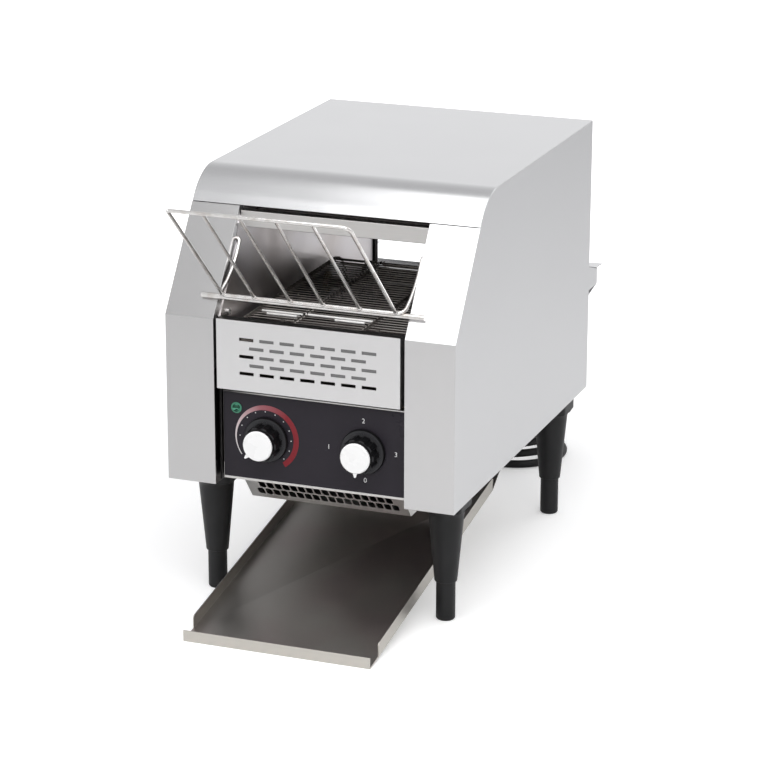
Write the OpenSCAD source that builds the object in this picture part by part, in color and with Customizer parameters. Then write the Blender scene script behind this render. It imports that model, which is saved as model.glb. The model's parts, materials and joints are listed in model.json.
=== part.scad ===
// Conveyor toaster: a stainless casing on four plastic legs, with a wire belt between
// two shafts, heaters over and inside the belt, a hinged loading rack and a loose tray.
// Millimetres. +Z is up and the front faces -Y. The origin lies on the table, under the
// middle of the whole footprint.

/* [Body] */
// Width over the side panels
body_w = 288; // [286:1:292]
// Depth of the side panels
body_d = 418; // [416:1:424]
// Height of the top cover over the table
body_top = 410; // [408:1:414]
// Height of the bottom edge of the side panels
body_bottom = 125.3; // [125:0.1:126]
// Height at which the front starts to lean back
knee_z = 288.2; // [286:0.1:289]
// Angle of the leaning front, from level
front_slope = 55; // [54:0.5:56]
// Radius between the leaning front and the top
top_radius = 55; // [50:1:58]
// Depth at which the top cover meets the front wings
seam_y = 65.5; // [63:0.5:66]
// Width of each front wing
wing_w = 49; // [48:0.5:49]
// Thickness of the casing sheet
sheet = 1; // [0.8:0.1:1.2]

/* [Loading rack] */
// Depth of the rack's pivot behind the wings' front face
pivot_y = 57; // [56:0.5:58]
// Height of the rack's pivot
pivot_z = 352; // [351:0.5:353]
// Width of the bread guide between its outer wires
rack_w = 172; // [168:1:174]
// Distance from the guide's upper bar to the front face of the wings
rack_reach = 111; // [111]
// Height of the guide's upper bar
rack_top = 419; // [415:1:420]

/* [Belt] */
// Pitch of the belt wires
belt_pitch = 7.62; // [7.62]
// Wires on each straight run
run_wires = 30; // [30]
// Teeth on each belt sprocket
belt_teeth = 20; // [20]
// Diameter of a belt wire
belt_wire = 1.4; // [1.3:0.1:1.5]
// Height of the middle of the upper run
belt_z = 276; // [275:0.5:277]
// Depth of the front shaft behind the wings' front face
front_shaft_y = 52; // [51:0.5:53]

/* [Controls] */
// Height of both knobs
knob_z = 172.8; // [172:0.1:175]
// Distance from the middle to the left knob
left_knob_x = 46.5; // [46:0.5:50]
// Distance from the middle to the right knob
right_knob_x = 51; // [48:0.5:52]
// Radius of the skirt of a knob
knob_r = 22; // [21:0.5:23]

/* [Tray] */
// Half of the tray's width
tray_half = 93.2; // [92:0.1:94]
// How far the loose tray lies to the right of the middle
tray_shift = 2; // [0:0.1:2]
// Height of the tray's side walls
tray_wall = 12.3; // [12:0.1:14]
// Slope of the tray's floor
tray_slope = 9.3; // [9.2:0.1:9.4]

/* [Legs] */
// Distance from the middle to each front leg
front_leg_x = 118; // [117:0.5:119]
// Distance from the middle to each rear leg
rear_leg_x = 121; // [118:0.5:122]
// Depth of the front legs
front_leg_y = 53; // [52:1:56]
// Depth of the rear legs
rear_leg_y = 368; // [366:1:373]
// Radius of a foot
foot_r = 9.3; // [9:0.1:9.6]
// Height of the lower end of a leg
leg_end_z = 38.8; // [38:0.1:44]

/* [Cord] */
// Diameter of the mains lead
cord_d = 8.5; // [8.5]
// Middle radius of the upper coiled turns
coil_r = 51; // [51]

/* [Hidden] */
$fn = 48;

half_w = body_w / 2;
// The origin is this far behind the front face of the wings
front_y = -196;
play = 0.3;

// Casing outline, seen from the side
cover_c = [(body_top - top_radius + top_radius * cos(front_slope) - knee_z) / tan(front_slope)
    + top_radius * sin(front_slope), body_top - top_radius];
return_d = 16;
opening_half = half_w - wing_w;

// Inner walls
wall_x = 94;
wall_front = 14;
wall_rear = 412;

// Belt loop: two straight runs and two half turns
turn_wires = belt_teeth / 2;
belt_count = 2 * (run_wires + turn_wires);
belt_r = turn_wires * belt_pitch / PI;
belt_run = run_wires * belt_pitch;
belt_turn = turn_wires * belt_pitch;
shaft_z = belt_z - belt_r;
rear_shaft_y = front_shaft_y + belt_run;
wire_gap = 1.7;
bend_rise = 1.6;
bend_half = 2.6;
bend_x = [-84, -36, 36, 84];
sprocket_x = 48;
shaft_r = 5;
bush_r = 8;

// Chain drive in the right-hand cavity
chain_pitch = 6.35;
driven_teeth = 24;
motor_teeth = 12;
chain_links = 50;
chain_x = 105;
driven_r = chain_pitch * driven_teeth / 360 * 180 / PI;
motor_r = chain_pitch * motor_teeth / 360 * 180 / PI;
roller_r = 1.65;
motor_angle = -56;

// Distance between the wheels at which the links close exactly, by repeated halving
function chain_length(c) = let (lean = asin((driven_r - motor_r) / c))
    2 * c * cos(lean) + PI * (driven_r + motor_r) + PI * lean / 90 * (driven_r - motor_r);
function solve_centres(low, high, steps) = let (mid = (low + high) / 2)
    steps == 0 ? mid
    : chain_length(mid) < chain_links * chain_pitch ? solve_centres(mid, high, steps - 1)
    : solve_centres(low, mid, steps - 1);
wheel_gap = solve_centres(40, 160, 30);
motor_y = front_shaft_y + wheel_gap * cos(motor_angle);
motor_z = shaft_z + wheel_gap * sin(motor_angle);
chain_lean = asin((driven_r - motor_r) / wheel_gap);
motor_shaft_r = 4;

// Heaters
heater_r = 6;
upper_heaters = [[110, 370], [170, 370], [230, 370]];
lower_heaters = [[130, shaft_z], [205, shaft_z]];

// Front panels
vent_y = 1.6;
vent_half = 91.5;
// The vent panel sits a little to the left of the middle
vent_mid = -1.35;
vent_low = 220.7;
vent_high = 288.7;
panel_y = 10;
panel_half = 90;
panel_low = 132;
panel_high = 215.2;
slot_size = [14.3, 3];
slot_pitch = 20.35;
slot_rows = [270.9, 262.65, 254.4, 246.15, 237.9];
lamp_at = [-76.6, 201];
knob_shaft_r = 3;

// Pan under the body, with the air intake on its leaning front
pan_half = 81.5;
pan_top = body_bottom + sheet;
pan_front = [[32, pan_top], [56, 97]];
pan_rear = 230;
intake_pitch = 8.09;
// Width and height of an intake slot, and the radius of its corners
intake_slot = [6.6, 10, 2];
intake_rows = [[18, 11.6], [17, 23.2]];

// Tray: floor line from the lip to the bend, then up to the hooks
lip_y = -88;
lip_h = 11;
tray_bend_y = 259;
tray_bend_z = sheet + (tray_bend_y - lip_y) * tan(tray_slope);
hook_y = 373;
hook_z = 127.9;
hook_half = 83.5;
ear_half = 90.4;
rail_z = 126.6;

// Rear hood
hood_half = 133;
hood_tab = 504.75;

// Fan over the floor of the pan
fan_x = -35;
fan_y = 165;
fan_size = 80;
fan_h = 25;
fan_z = 98;

// Mains lead
gland = [-119, 150];
cord_r = cord_d / 2;
coil_at = [27, 538];
// The lowest turn lies a little wider than the others
coil_wide = 3.2;
coil_h = 44.5;
plug_at = [-40, 477, 18.1];
cord_route = [[-119, 450, 150], [-119, 458, 149.2], [-119, 468, 146], [-119, 478, 139],
    [-119, 486, 129], [-119, 491, 117], [-119, 494, 102], [-119, 496, 85], [-119, 499, 66],
    [-119, 504, 46], [-118.5, 511, 29], [-117, 521, 15], [-113, 533, 6.5], [-106, 546, 4.3],
    [-96, 559, 4.3], [-82, 572, 4.3], [-65, 583, 4.3], [-46, 589.5, 4.3], [-28, 592, 4.3],
    [-8, 592.2, 4.3], [10, 592.2, 4.3], [27, 592.2, 4.3]];
tail_route = [[27, 487, 34.4], [18, 487, 34.1], [8, 486.6, 32.4], [-2, 485.4, 29.2],
    [-12, 483.2, 25.1], [-22, 480.4, 21.4], [-31, 478, 19], [-40, 477, 18.1]];

// ---------------------------------------------------------------- helpers

// Everything is drawn with y = 0 at the front face of the wings
module from_front() { translate([0, front_y, 0]) children(); }

// Extrudes an outline drawn as (depth, height) across the width, from x over w
module across(x, w) { translate([x, 0, 0]) rotate([90, 0, 90]) linear_extrude(w) children(); }

module both_sides() {
    children();
    mirror([1, 0, 0]) children();
}

// A round bar from p to q
module bar(p, q, r) {
    d = q - p;
    translate(p) rotate([0, acos(d.z / norm(d)), atan2(d.y, d.x)]) cylinder(r = r, h = norm(d));
}

// A block between two corners
module block(low, high) { translate(low) cube(high - low); }

// A slot with round ends, upright by default
module slot_2d(w, h) {
    r = min(w, h) / 2;
    if (w > h) {
        square([w - h, h], center = true);
        for (s = [-1, 1]) translate([s * (w - h) / 2, 0]) circle(r);
    } else {
        square([w, h - w], center = true);
        for (s = [-1, 1]) translate([0, s * (h - w) / 2]) circle(r);
    }
}

// A rectangle with round corners
module plate_2d(w, h, r) {
    square([w - 2 * r, h], center = true);
    square([w, h - 2 * r], center = true);
    for (x = [-1, 1], y = [-1, 1]) translate([x * (w / 2 - r), y * (h / 2 - r)]) circle(r);
}

// Side view of the casing, drawn in by some thickness at the front, the slope and the top
module casing_2d(inset) {
    r = top_radius - inset;
    start = cover_c + r * [-sin(front_slope), cos(front_slope)];
    corner = cover_c + [-r * tan(front_slope / 2), r];
    end = cover_c + [0, r];
    knee = [inset, knee_z + inset * (tan(front_slope) - 1 / cos(front_slope))];
    polygon([[inset, body_bottom], [body_d, body_bottom], [body_d, body_top - inset],
        end, start, knee]);
    intersection() {
        translate(cover_c) circle(r, $fn = 96);
        polygon([start, corner, end]);
    }
}

module casing_strip(depth) {
    difference() {
        casing_2d(0);
        casing_2d(depth);
    }
}

// ---------------------------------------------------------------- casing

module side_panel() {
    difference() {
        union() {
            across(half_w - sheet, sheet) intersection() {
                casing_2d(0);
                translate([-1, 0]) square([seam_y + 1, body_top]);
            }
            across(half_w - sheet, sheet) intersection() {
                casing_2d(sheet);
                translate([seam_y - 0.5, 0]) square([body_d, body_top]);
            }
            across(opening_half, wing_w) intersection() {
                casing_strip(sheet);
                translate([-1, body_bottom]) square([seam_y + 1, body_top]);
            }
            across(opening_half, sheet) intersection() {
                casing_strip(return_d);
                translate([-1, body_bottom]) square([seam_y + 1, body_top]);
            }
            block([opening_half + sheet, 0, body_bottom], [half_w, body_d, body_bottom + sheet]);
            block([half_w - 12, body_d - 2 * sheet, body_bottom],
                [half_w, body_d - sheet, body_top - 20]);
        }
        translate([opening_half - 1, pivot_y, pivot_z])
            rotate([0, 90, 0]) cylinder(r = 2.08, h = sheet + 2);
        for (at = [[front_leg_x, front_leg_y], [rear_leg_x, rear_leg_y]], a = [-14, 14])
            translate([at.x, at.y + a, body_bottom - 1]) cylinder(r = 2.2, h = sheet + 2);
    }
}

module side_panel_left() { color("gainsboro") from_front() mirror([1, 0, 0]) side_panel(); }
module side_panel_right() { color("gainsboro") from_front() side_panel(); }

module top_cover() {
    color("gainsboro") from_front() {
        across(-half_w, body_w) intersection() {
            casing_strip(sheet);
            // The front edge is cut square to the slope
            translate([seam_y + play, knee_z + (seam_y + play) * tan(front_slope)])
                rotate(front_slope) translate([0, -body_d]) square(2 * body_d);
        }
        // Rear flange over the rear panel
        block([-half_w + 1.5, body_d - sheet, body_top - 13],
            [half_w - 1.5, body_d, body_top - sheet / 2]);
    }
}

module rear_panel() {
    outlet = [180, 150];
    outlet_z = 225;
    vent_slot = [26, 3.2];
    color("silver") from_front() difference() {
        block([-half_w + sheet, body_d - sheet, body_bottom + sheet],
            [half_w - sheet, body_d, body_top - 13.3]);
        translate([0, body_d + 1, outlet_z]) rotate([90, 0, 0])
            linear_extrude(sheet + 2) plate_2d(outlet.x, outlet.y, 4);
        for (s = [-1, 1], i = [0:9]) translate([s * 118, body_d + 1, 270 + 9 * i])
            rotate([90, 0, 0]) linear_extrude(sheet + 2) slot_2d(vent_slot.x, vent_slot.y);
        translate([gland.x, body_d + 1, gland.y]) rotate([90, 0, 0])
            cylinder(r = 9, h = sheet + 2);
        // Keyholes that the hood hangs from
        for (s = [-1, 1]) translate([s * 112, body_d + 1, 233]) rotate([90, 0, 0])
            linear_extrude(sheet + 2) slot_2d(5, 24);
    }
}

module screw() {
    translate([0, 0, -4]) cylinder(r = 1.5, h = 4.5);
    difference() {
        cylinder(r = 3.4, h = 2);
        translate([0, 0, 1]) cylinder(r = 1.5, h = 2, $fn = 6);
    }
}

// Screws of the rear panel, and one in each wall of the tunnel near the bread opening
module panel_screws() {
    color("silver") from_front() both_sides() {
        for (z = [140, 200, 385]) translate([half_w - 7, body_d, z]) rotate([-90, 0, 0]) screw();
        translate([wall_x, 32, 287]) rotate([0, -90, 0]) screw();
    }
}

module inner_wall() {
    foot_w = 12;
    difference() {
        union() {
            across(wall_x, sheet) polygon([[wall_front, pan_top], [wall_rear, pan_top],
                [wall_rear, 400], [100, 400], [77, 384], [60.5, 366], [60.5, 352],
                [wall_front, 287]]);
            block([wall_x, wall_front + 3, pan_top],
                [wall_x + foot_w, wall_rear - 3, pan_top + sheet]);
        }
        for (y = [front_shaft_y, rear_shaft_y]) translate([wall_x - 1, y, shaft_z])
            rotate([0, 90, 0]) cylinder(r = bush_r, h = sheet + 2);
        for (h = concat(upper_heaters, lower_heaters)) translate([wall_x - 1, h.x, h.y])
            rotate([0, 90, 0]) cylinder(r = heater_r + 0.8, h = sheet + 2);
        translate([wall_x - 1, motor_y, motor_z]) rotate([0, 90, 0])
            cylinder(r = motor_shaft_r + 2, h = sheet + 2);
    }
}

module inner_wall_left() { color("dimgray") from_front() mirror([1, 0, 0]) inner_wall(); }
module inner_wall_right() { color("dimgray") from_front() inner_wall(); }

module lintel() {
    low = 361.5;
    high = 377;
    color("rosybrown") from_front() across(-wall_x, 2 * wall_x) polygon([[66, low], [78, low],
        [78, low + sheet], [67, low + sheet], [67, high - sheet], [75, high - sheet],
        [75, high], [66, high]]);
}

module upper_reflector() {
    color("lightgray") from_front() across(-wall_x, 2 * wall_x) polygon([[82, 378], [92, 394],
        [286, 394], [300, 380], [300, 345], [299, 345], [299, 379.6], [285.6, 393],
        [92.6, 393], [83, 378]]);
}

// ---------------------------------------------------------------- front panels

function slot_count(row) = row % 2 == 0 ? 7 : 6;
function slot_at(row, i) = vent_mid + (i - (slot_count(row) - 1) / 2) * slot_pitch;

// Vent panel. A lining behind its upper rows keeps crumbs in: it closes those slots, except
// the first one of a row of seven.
module vent_panel() {
    y1 = vent_y + sheet;
    left = vent_mid - vent_half;
    right = vent_mid + vent_half;
    lining = 0.8;
    row_pitch = slot_rows[0] - slot_rows[1];
    color("whitesmoke") from_front() {
        difference() {
            union() {
                block([left, vent_y, vent_low], [right, y1, vent_high]);
                for (z = [vent_low, vent_high - sheet])
                    block([left, vent_y, z], [right, wall_front - play, z + sheet]);
                for (x = [left, right - sheet])
                    block([x, vent_y, vent_low], [x + sheet, 26, vent_high - 2]);
                for (x = [[-wall_x, left + sheet], [right - sheet, wall_x]])
                    block([x[0], 25, vent_low + 3], [x[1], 26, vent_high - 5]);
            }
            for (row = [0:len(slot_rows) - 1], i = [0:slot_count(row) - 1])
                translate([slot_at(row, i), y1 + 1, slot_rows[row]]) rotate([90, 0, 0])
                    linear_extrude(sheet + 2) square(slot_size, center = true);
        }
        for (row = [0:len(slot_rows) - 2]) {
            low = slot_at(row, row % 2 == 0 ? 1 : 0) - slot_size.x / 2 - 2.5;
            block([low, y1, slot_rows[row] - row_pitch / 2],
                [slot_at(0, 6) + slot_size.x / 2 + 2.5, y1 + lining, slot_rows[row] + row_pitch / 2]);
        }
    }
}

// Metal carrier of the black control panel
module control_box() {
    low = 129.3;
    high = 216.6;
    y0 = panel_y + sheet;
    color("silver") from_front() difference() {
        union() {
            block([-panel_half - 1, y0, low], [panel_half + 1, y0 + sheet, high]);
            block([-panel_half - 1, y0, high - sheet], [panel_half + 1, 40, high]);
            block([-panel_half - 1, y0, low], [panel_half + 1, 28, low + sheet]);
            both_sides() {
                block([panel_half, y0, low], [panel_half + 1, 60, high]);
                block([panel_half, 59, low + 2], [wall_x, 60, high - 2]);
            }
        }
        for (x = [-left_knob_x, right_knob_x]) translate([x, y0 + 5, knob_z])
            rotate([90, 0, 0]) cylinder(r = 4.5, h = 10);
        translate([lamp_at.x, y0 + 5, lamp_at.y]) rotate([90, 0, 0]) cylinder(r = 4.6, h = 10);
    }
}

module control_panel() {
    color("#26262c") from_front() difference() {
        block([-panel_half, panel_y, panel_low],
            [panel_half + 1.5, panel_y + sheet, panel_high]);
        for (x = [-left_knob_x, right_knob_x]) translate([x, panel_y + 2, knob_z])
            rotate([90, 0, 0]) cylinder(r = 4.5, h = 4);
        translate([lamp_at.x, panel_y + 2, lamp_at.y]) rotate([90, 0, 0])
            cylinder(r = 4.6, h = 4);
    }
}

// Knob body: a skirt, a fluted grip that narrows in one step, and the shaft
module knob(x) {
    flutes = 10;
    color("#1d1d20") from_front() translate([x, panel_y, knob_z]) rotate([90, 0, 0]) {
        translate([0, 0, 0.5]) cylinder(r = knob_r, h = 2);
        translate([0, 0, 2.5]) cylinder(r1 = knob_r, r2 = knob_r - 0.8, h = 1.5);
        translate([0, 0, 4]) linear_extrude(14) difference() {
            circle(17);
            for (i = [0:flutes - 1]) rotate((i + 0.5) * 360 / flutes)
                translate([19, 0]) circle(3.7);
        }
        translate([0, 0, 18]) cylinder(r = 15.2, h = 3);
        translate([0, 0, -15]) cylinder(r = knob_shaft_r, h = 16);
    }
}

// White cap with its pointer, turned by angle from upright
module knob_cap(x, angle) {
    color("white") from_front() translate([x, panel_y, knob_z]) rotate([90, 0, 0]) {
        translate([0, 0, 21]) cylinder(r = 14.6, h = 1.2);
        translate([0, 0, 22.2]) cylinder(r1 = 14.6, r2 = 13.8, h = 0.8);
        translate([0, 0, 21]) rotate(angle) linear_extrude(1.4)
            polygon([[-2.2, 14], [2.2, 14], [0.7, 18.6], [-0.7, 18.6]]);
    }
}

module colour_knob() { knob(-left_knob_x); }
module colour_knob_cap() { knob_cap(-left_knob_x, 135); }
module selector_knob() { knob(right_knob_x); }
module selector_knob_cap() { knob_cap(right_knob_x, 180); }

module indicator_lamp() {
    color("#20242a") from_front() translate([lamp_at.x, panel_y, lamp_at.y])
        rotate([90, 0, 0]) difference() {
            union() {
                translate([0, 0, -24]) cylinder(r = 4.5, h = 25);
                cylinder(r = 5.4, h = 1.2);
            }
            translate([0, 0, -4]) cylinder(r = 3.7, h = 6);
        }
}

module indicator_lens() {
    color("seagreen") from_front() translate([lamp_at.x, panel_y, lamp_at.y])
        rotate([90, 0, 0]) {
            translate([0, 0, -4]) cylinder(r = 3.7, h = 6);
            translate([0, 0, 2]) cylinder(r1 = 3.7, r2 = 2.9, h = 0.8);
        }
}

module speed_regulator() {
    y0 = panel_y + 2 * sheet;
    color("royalblue") from_front() difference() {
        union() {
            block([-left_knob_x - 17, y0 + 1.5, knob_z - 17],
                [-left_knob_x + 17, y0 + 15, knob_z + 17]);
            translate([-left_knob_x, y0 + 2, knob_z]) rotate([90, 0, 0])
                cylinder(r = 4.3, h = 3);
            block([-left_knob_x - 24, y0 + 15, knob_z - 24],
                [-left_knob_x + 24, y0 + 16.6, knob_z + 24]);
        }
        translate([-left_knob_x, y0 + 14, knob_z]) rotate([90, 0, 0])
            cylinder(r = knob_shaft_r + 0.06, h = 20);
    }
}

module selector_switch() {
    y0 = panel_y + 2 * sheet;
    color("beige") from_front() difference() {
        union() {
            translate([right_knob_x, y0 + 38, knob_z]) rotate([90, 0, 0]) linear_extrude(36.5)
                plate_2d(42, 42, 6);
            translate([right_knob_x, y0 + 2, knob_z]) rotate([90, 0, 0])
                cylinder(r = 4.3, h = 3);
            for (x = [-1, 1], z = [-1, 1])
                block([right_knob_x + x * 13 - 3, y0 + 37, knob_z + z * 13 - 0.5],
                    [right_knob_x + x * 13 + 3, y0 + 46, knob_z + z * 13 + 0.5]);
        }
        translate([right_knob_x, y0 + 20, knob_z]) rotate([90, 0, 0])
            cylinder(r = knob_shaft_r + 0.06, h = 30);
    }
}

// ---------------------------------------------------------------- underside

module bottom_pan() {
    f = pan_front;
    slope = atan2(f[0].y - f[1].y, f[1].x - f[0].x);
    color("silver") from_front() difference() {
        union() {
            across(-pan_half, 2 * pan_half)
                polygon([f[0], f[1], [pan_rear, f[1].y], [pan_rear, pan_top]]);
            block([-wall_x, f[0].x - 2, body_bottom], [wall_x, pan_rear + 6, pan_top]);
        }
        across(-pan_half + sheet, 2 * (pan_half - sheet))
            polygon([f[0] + [sheet / sin(slope) + 1, 1], f[0] + [sheet / sin(slope), 0],
                f[1] + [sheet * tan(slope / 2), sheet],
                [pan_rear - sheet, f[1].y + sheet], [pan_rear - sheet, pan_top + 1]]);
        // Air intake on the leaning front
        for (row = intake_rows, i = [0:row.x - 1])
            translate([(i - (row.x - 1) / 2) * intake_pitch,
                f[1].x - row.y * cos(slope), f[1].y + row.y * sin(slope)])
                rotate([90 - slope, 0, 0]) rotate([90, 0, 0]) translate([0, 0, -3])
                    linear_extrude(6) plate_2d(intake_slot.x, intake_slot.y, intake_slot.z);
        // Round holes under the fan
        for (ring = [[8, 6], [18, 12], [29, 18]], i = [0:ring.y - 1])
            translate([fan_x, fan_y, f[1].y - 1]) rotate(i * 360 / ring.y)
                translate([ring.x, 0, 0]) cylinder(r = 3, h = sheet + 2);
    }
}

// Floor of the belt tunnel, bent down behind the control space
module deck_plate() {
    z = 218.5;
    color("dimgray") from_front() difference() {
        across(-wall_x, 2 * wall_x) polygon([[wall_front, z], [pan_rear + 5, z],
            [pan_rear + 5, pan_top], [pan_rear + 6, pan_top], [pan_rear + 6, z + sheet],
            [wall_front, z + sheet]]);
        for (s = [-1, 1]) translate([s * 60, pan_rear, 190]) rotate([-90, 0, 0])
            linear_extrude(10) slot_2d(40, 6);
    }
}

// Plate under the rear outlet that turns the toast down onto the tray
module rear_baffle() {
    low = 131;
    high = 237;
    y = 401;
    color("dimgray") from_front() {
        across(-wall_x + sheet, 2 * (wall_x - sheet)) polygon([[y, low], [y + sheet, low],
            [y + sheet, high], [y - 4, high + 1.5], [y - 4, high + 0.5], [y, high - sheet]]);
        both_sides() block([wall_x - 1.5 * sheet, y - 14, low + 14],
            [wall_x, y + sheet, high - 10]);
    }
}

module tray_rails() {
    color("silver") from_front() both_sides() {
        block([wall_x - 8, 296, rail_z], [wall_x, 400, rail_z + sheet]);
        block([wall_x - sheet, 296, rail_z], [wall_x, 400, rail_z + 12]);
    }
}

module collection_tray() {
    bend = [tray_bend_y, tray_bend_z];
    hook = [hook_y, hook_z + sheet];
    rise = atan2(hook.y - bend.y, hook.x - bend.x);
    color("#5b5550") from_front() translate([tray_shift, 0, 0]) {
        // Floor and lip, then the rising end
        across(-tray_half, 2 * tray_half) polygon([[lip_y, lip_h], [lip_y, 0],
            [lip_y + 4, 0], bend + [sheet * tan(tray_slope), -sheet / cos(tray_slope)],
            bend + [78, 78 * tan(rise) - sheet / cos(rise)], bend + [78, 78 * tan(rise)], bend,
            [lip_y + sheet, sheet + sheet * tan(tray_slope)], [lip_y + sheet, lip_h]]);
        across(-hook_half, 2 * hook_half) polygon([bend + [77, 77 * tan(rise)],
            bend + [77, 77 * tan(rise) - sheet / cos(rise)],
            hook + [0.5, -sheet], hook + [18, -sheet], hook + [18, 0], hook]);
        block([-ear_half, hook_y + 4, hook_z], [ear_half, hook_y + 18, hook_z + sheet]);
        // Side walls
        both_sides() across(tray_half - sheet, sheet) polygon([[-66, 3],
            bend + [0, -sheet], bend + [0, tray_wall - 1], bend + [-3, tray_wall],
            [-64, bend.y - (bend.x + 64) * tan(tray_slope) + tray_wall],
            [-66, bend.y - (bend.x + 66) * tan(tray_slope) + tray_wall - 2]]);
    }
}

module rear_hood() {
    low = 219;
    back = 484.5;
    color("gainsboro") from_front() {
        both_sides() {
            across(hood_half - sheet, sheet) polygon([[body_d + play, low],
                [back, low], [back, 235.5], [body_d + play, 255.5]]);
            // Lift tab at the upper rear corner
            across(hood_half - 13, 13) polygon([[back - 4, 237], [hood_tab, 235.2],
                [hood_tab, 236], [back - 4, 237.8]]);
            block([hood_half - 13, back - sheet, low], [hood_half, back, 237]);
            // Mounting flange and the hook that hangs in its keyhole
            block([100, body_d + play, low], [hood_half, body_d + play + sheet, 250]);
            block([110.2, body_d - 3, 222.2], [113.8, body_d + play + 0.5, 226]);
            block([110.2, body_d - 3, 214], [113.8, body_d - 2, 226]);
        }
        across(-hood_half, 2 * hood_half) polygon([[body_d + play, low - 12], [back, low],
            [back, low + 4], [back - sheet, low + 4], [back - sheet, low + sheet],
            [body_d + play, low - 12 + sheet]]);
    }
}

// ---------------------------------------------------------------- legs and feet

module leg(x, y) {
    flange_z = 112.5;
    color("#2b2b2d") from_front() translate([x, y, 0]) difference() {
        union() {
            translate([0, 0, flange_z]) linear_extrude(body_bottom - flange_z)
                plate_2d(40, 40, 7);
            translate([0, 0, leg_end_z]) cylinder(r1 = 10.9, r2 = 17.6, h = flange_z - leg_end_z);
            translate([0, 0, flange_z - 4]) cylinder(r1 = 17.2, r2 = 20, h = 4.1);
        }
        translate([0, 0, leg_end_z - 1]) cylinder(r = foot_r + 0.2, h = 50);
        translate([0, 0, leg_end_z]) cylinder(r = 4.06, h = 80);
        for (a = [-14, 14]) translate([0, a, flange_z + 2]) cylinder(r = 2.2, h = 10);
    }
}

module foot(x, y) {
    color("#232325") from_front() translate([x, y, 0]) {
        cylinder(r1 = foot_r - 1.2, r2 = foot_r, h = 1.6);
        translate([0, 0, 1.6]) cylinder(r = foot_r, h = 60);
        translate([0, 0, 61]) cylinder(r = 4, h = 33);
    }
}

module leg_front_left() { leg(-front_leg_x, front_leg_y); }
module leg_front_right() { leg(front_leg_x, front_leg_y); }
module leg_rear_left() { leg(-rear_leg_x, rear_leg_y); }
module leg_rear_right() { leg(rear_leg_x, rear_leg_y); }
module foot_front_left() { foot(-front_leg_x, front_leg_y); }
module foot_front_right() { foot(front_leg_x, front_leg_y); }
module foot_rear_left() { foot(-rear_leg_x, rear_leg_y); }
module foot_rear_right() { foot(rear_leg_x, rear_leg_y); }

// ---------------------------------------------------------------- loading rack

rod_r = 2.75;
frame_r = 2;
wire_r = 1.5;
arm_x = 91.3;
arm_bend = 8;
// Bend radii of the guide's upper corners, left and right
guide_bends = [2.6, 8];
hook_bend = 3.5;
// The guide is welded on a little to the left of the middle
guide_shift = -1.5;
// Where each inner guide wire meets the lower bar and the upper bar
guide_wires = [[-53.5, -52], [-17.5, -17.5], [15, 17], [51, 51.5]];
slope_out = [-sin(front_slope), cos(front_slope)];
rod_on = [12.5, knee_z + 12.5 * tan(front_slope)];
rod_at = rod_on + (rod_r + play) * slope_out;
bar_at = rod_at + (rod_r + frame_r) * slope_out;
// Each arm is an arc that rises more steeply towards the pivot
arm_bow = 19;
arm_chord = norm([pivot_y, pivot_z] - bar_at);
arm_line = atan2(pivot_z - bar_at.y, pivot_y - bar_at.x);
arm_mid = arm_line - asin((hook_bend - arm_bend) * sin(arm_bow) / arm_chord);
arm_arc = (arm_chord * cos(arm_line - arm_mid) - (arm_bend + hook_bend) * cos(arm_bow))
    / (2 * sin(arm_bow));
arm_from = bar_at + arm_bend * [cos(arm_mid - arm_bow), sin(arm_mid - arm_bow)];
arm_centre = arm_from + arm_arc * [-sin(arm_mid - arm_bow), cos(arm_mid - arm_bow)];

// Point at x, so far along a line that rises at angle a from point q, and its normal
function on_line(x, q, a, along) = [[x, q.x + along * cos(a), q.y + along * sin(a)],
    [0, -sin(a), cos(a)]];

// Line of the right arm: out of the bar, up the arc, and sideways into the wing
arm_path = concat(
    [on_line(arm_x - arm_bend - 2, bar_at, arm_mid - arm_bow, 0)],
    [for (t = [0:22.5:90]) on_line(arm_x - arm_bend + arm_bend * sin(t), bar_at,
        arm_mid - arm_bow, arm_bend * (1 - cos(t)))],
    [for (t = [0.25:0.25:0.75]) let (a = arm_mid - arm_bow + 2 * arm_bow * t)
        on_line(arm_x, arm_centre + arm_arc * [sin(a), -cos(a)], a, 0)],
    [for (t = [0:30:90]) on_line(arm_x + hook_bend * (1 - cos(t)), [pivot_y, pivot_z],
        arm_mid + arm_bow, hook_bend * (sin(t) - 1))],
    [on_line(arm_x + hook_bend + 1, [pivot_y, pivot_z], arm_mid + arm_bow, 0)]);
guide_end = [-rack_reach, rack_top];
guide_len = norm(guide_end - bar_at);
guide_angle = atan2(guide_end.y - bar_at.y, guide_end.x - bar_at.x);

// Draws in a plane that holds the X axis and leans back by an angle from level
module leaning(at, angle) {
    translate([0, at.x, at.y]) rotate([angle, 0, 0]) children();
}

module elbow(at, bend, r, from, turn) {
    translate(at) rotate(from) rotate_extrude(angle = turn) translate([bend, 0]) circle(r);
}

// Lower bar, both arms and the hooks that turn in the side panels
module rack_frame() {
    color("lightgray") from_front() {
        bar([-arm_x + arm_bend, bar_at.x, bar_at.y], [arm_x - arm_bend, bar_at.x, bar_at.y],
            frame_r);
        both_sides() {
            sweep([for (p = arm_path) p[0]], [for (p = arm_path) p[1]], 0.97 * frame_r, 12);
            bar([arm_x + hook_bend, pivot_y, pivot_z], [arm_x + 7, pivot_y, pivot_z], frame_r);
        }
    }
}

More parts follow.
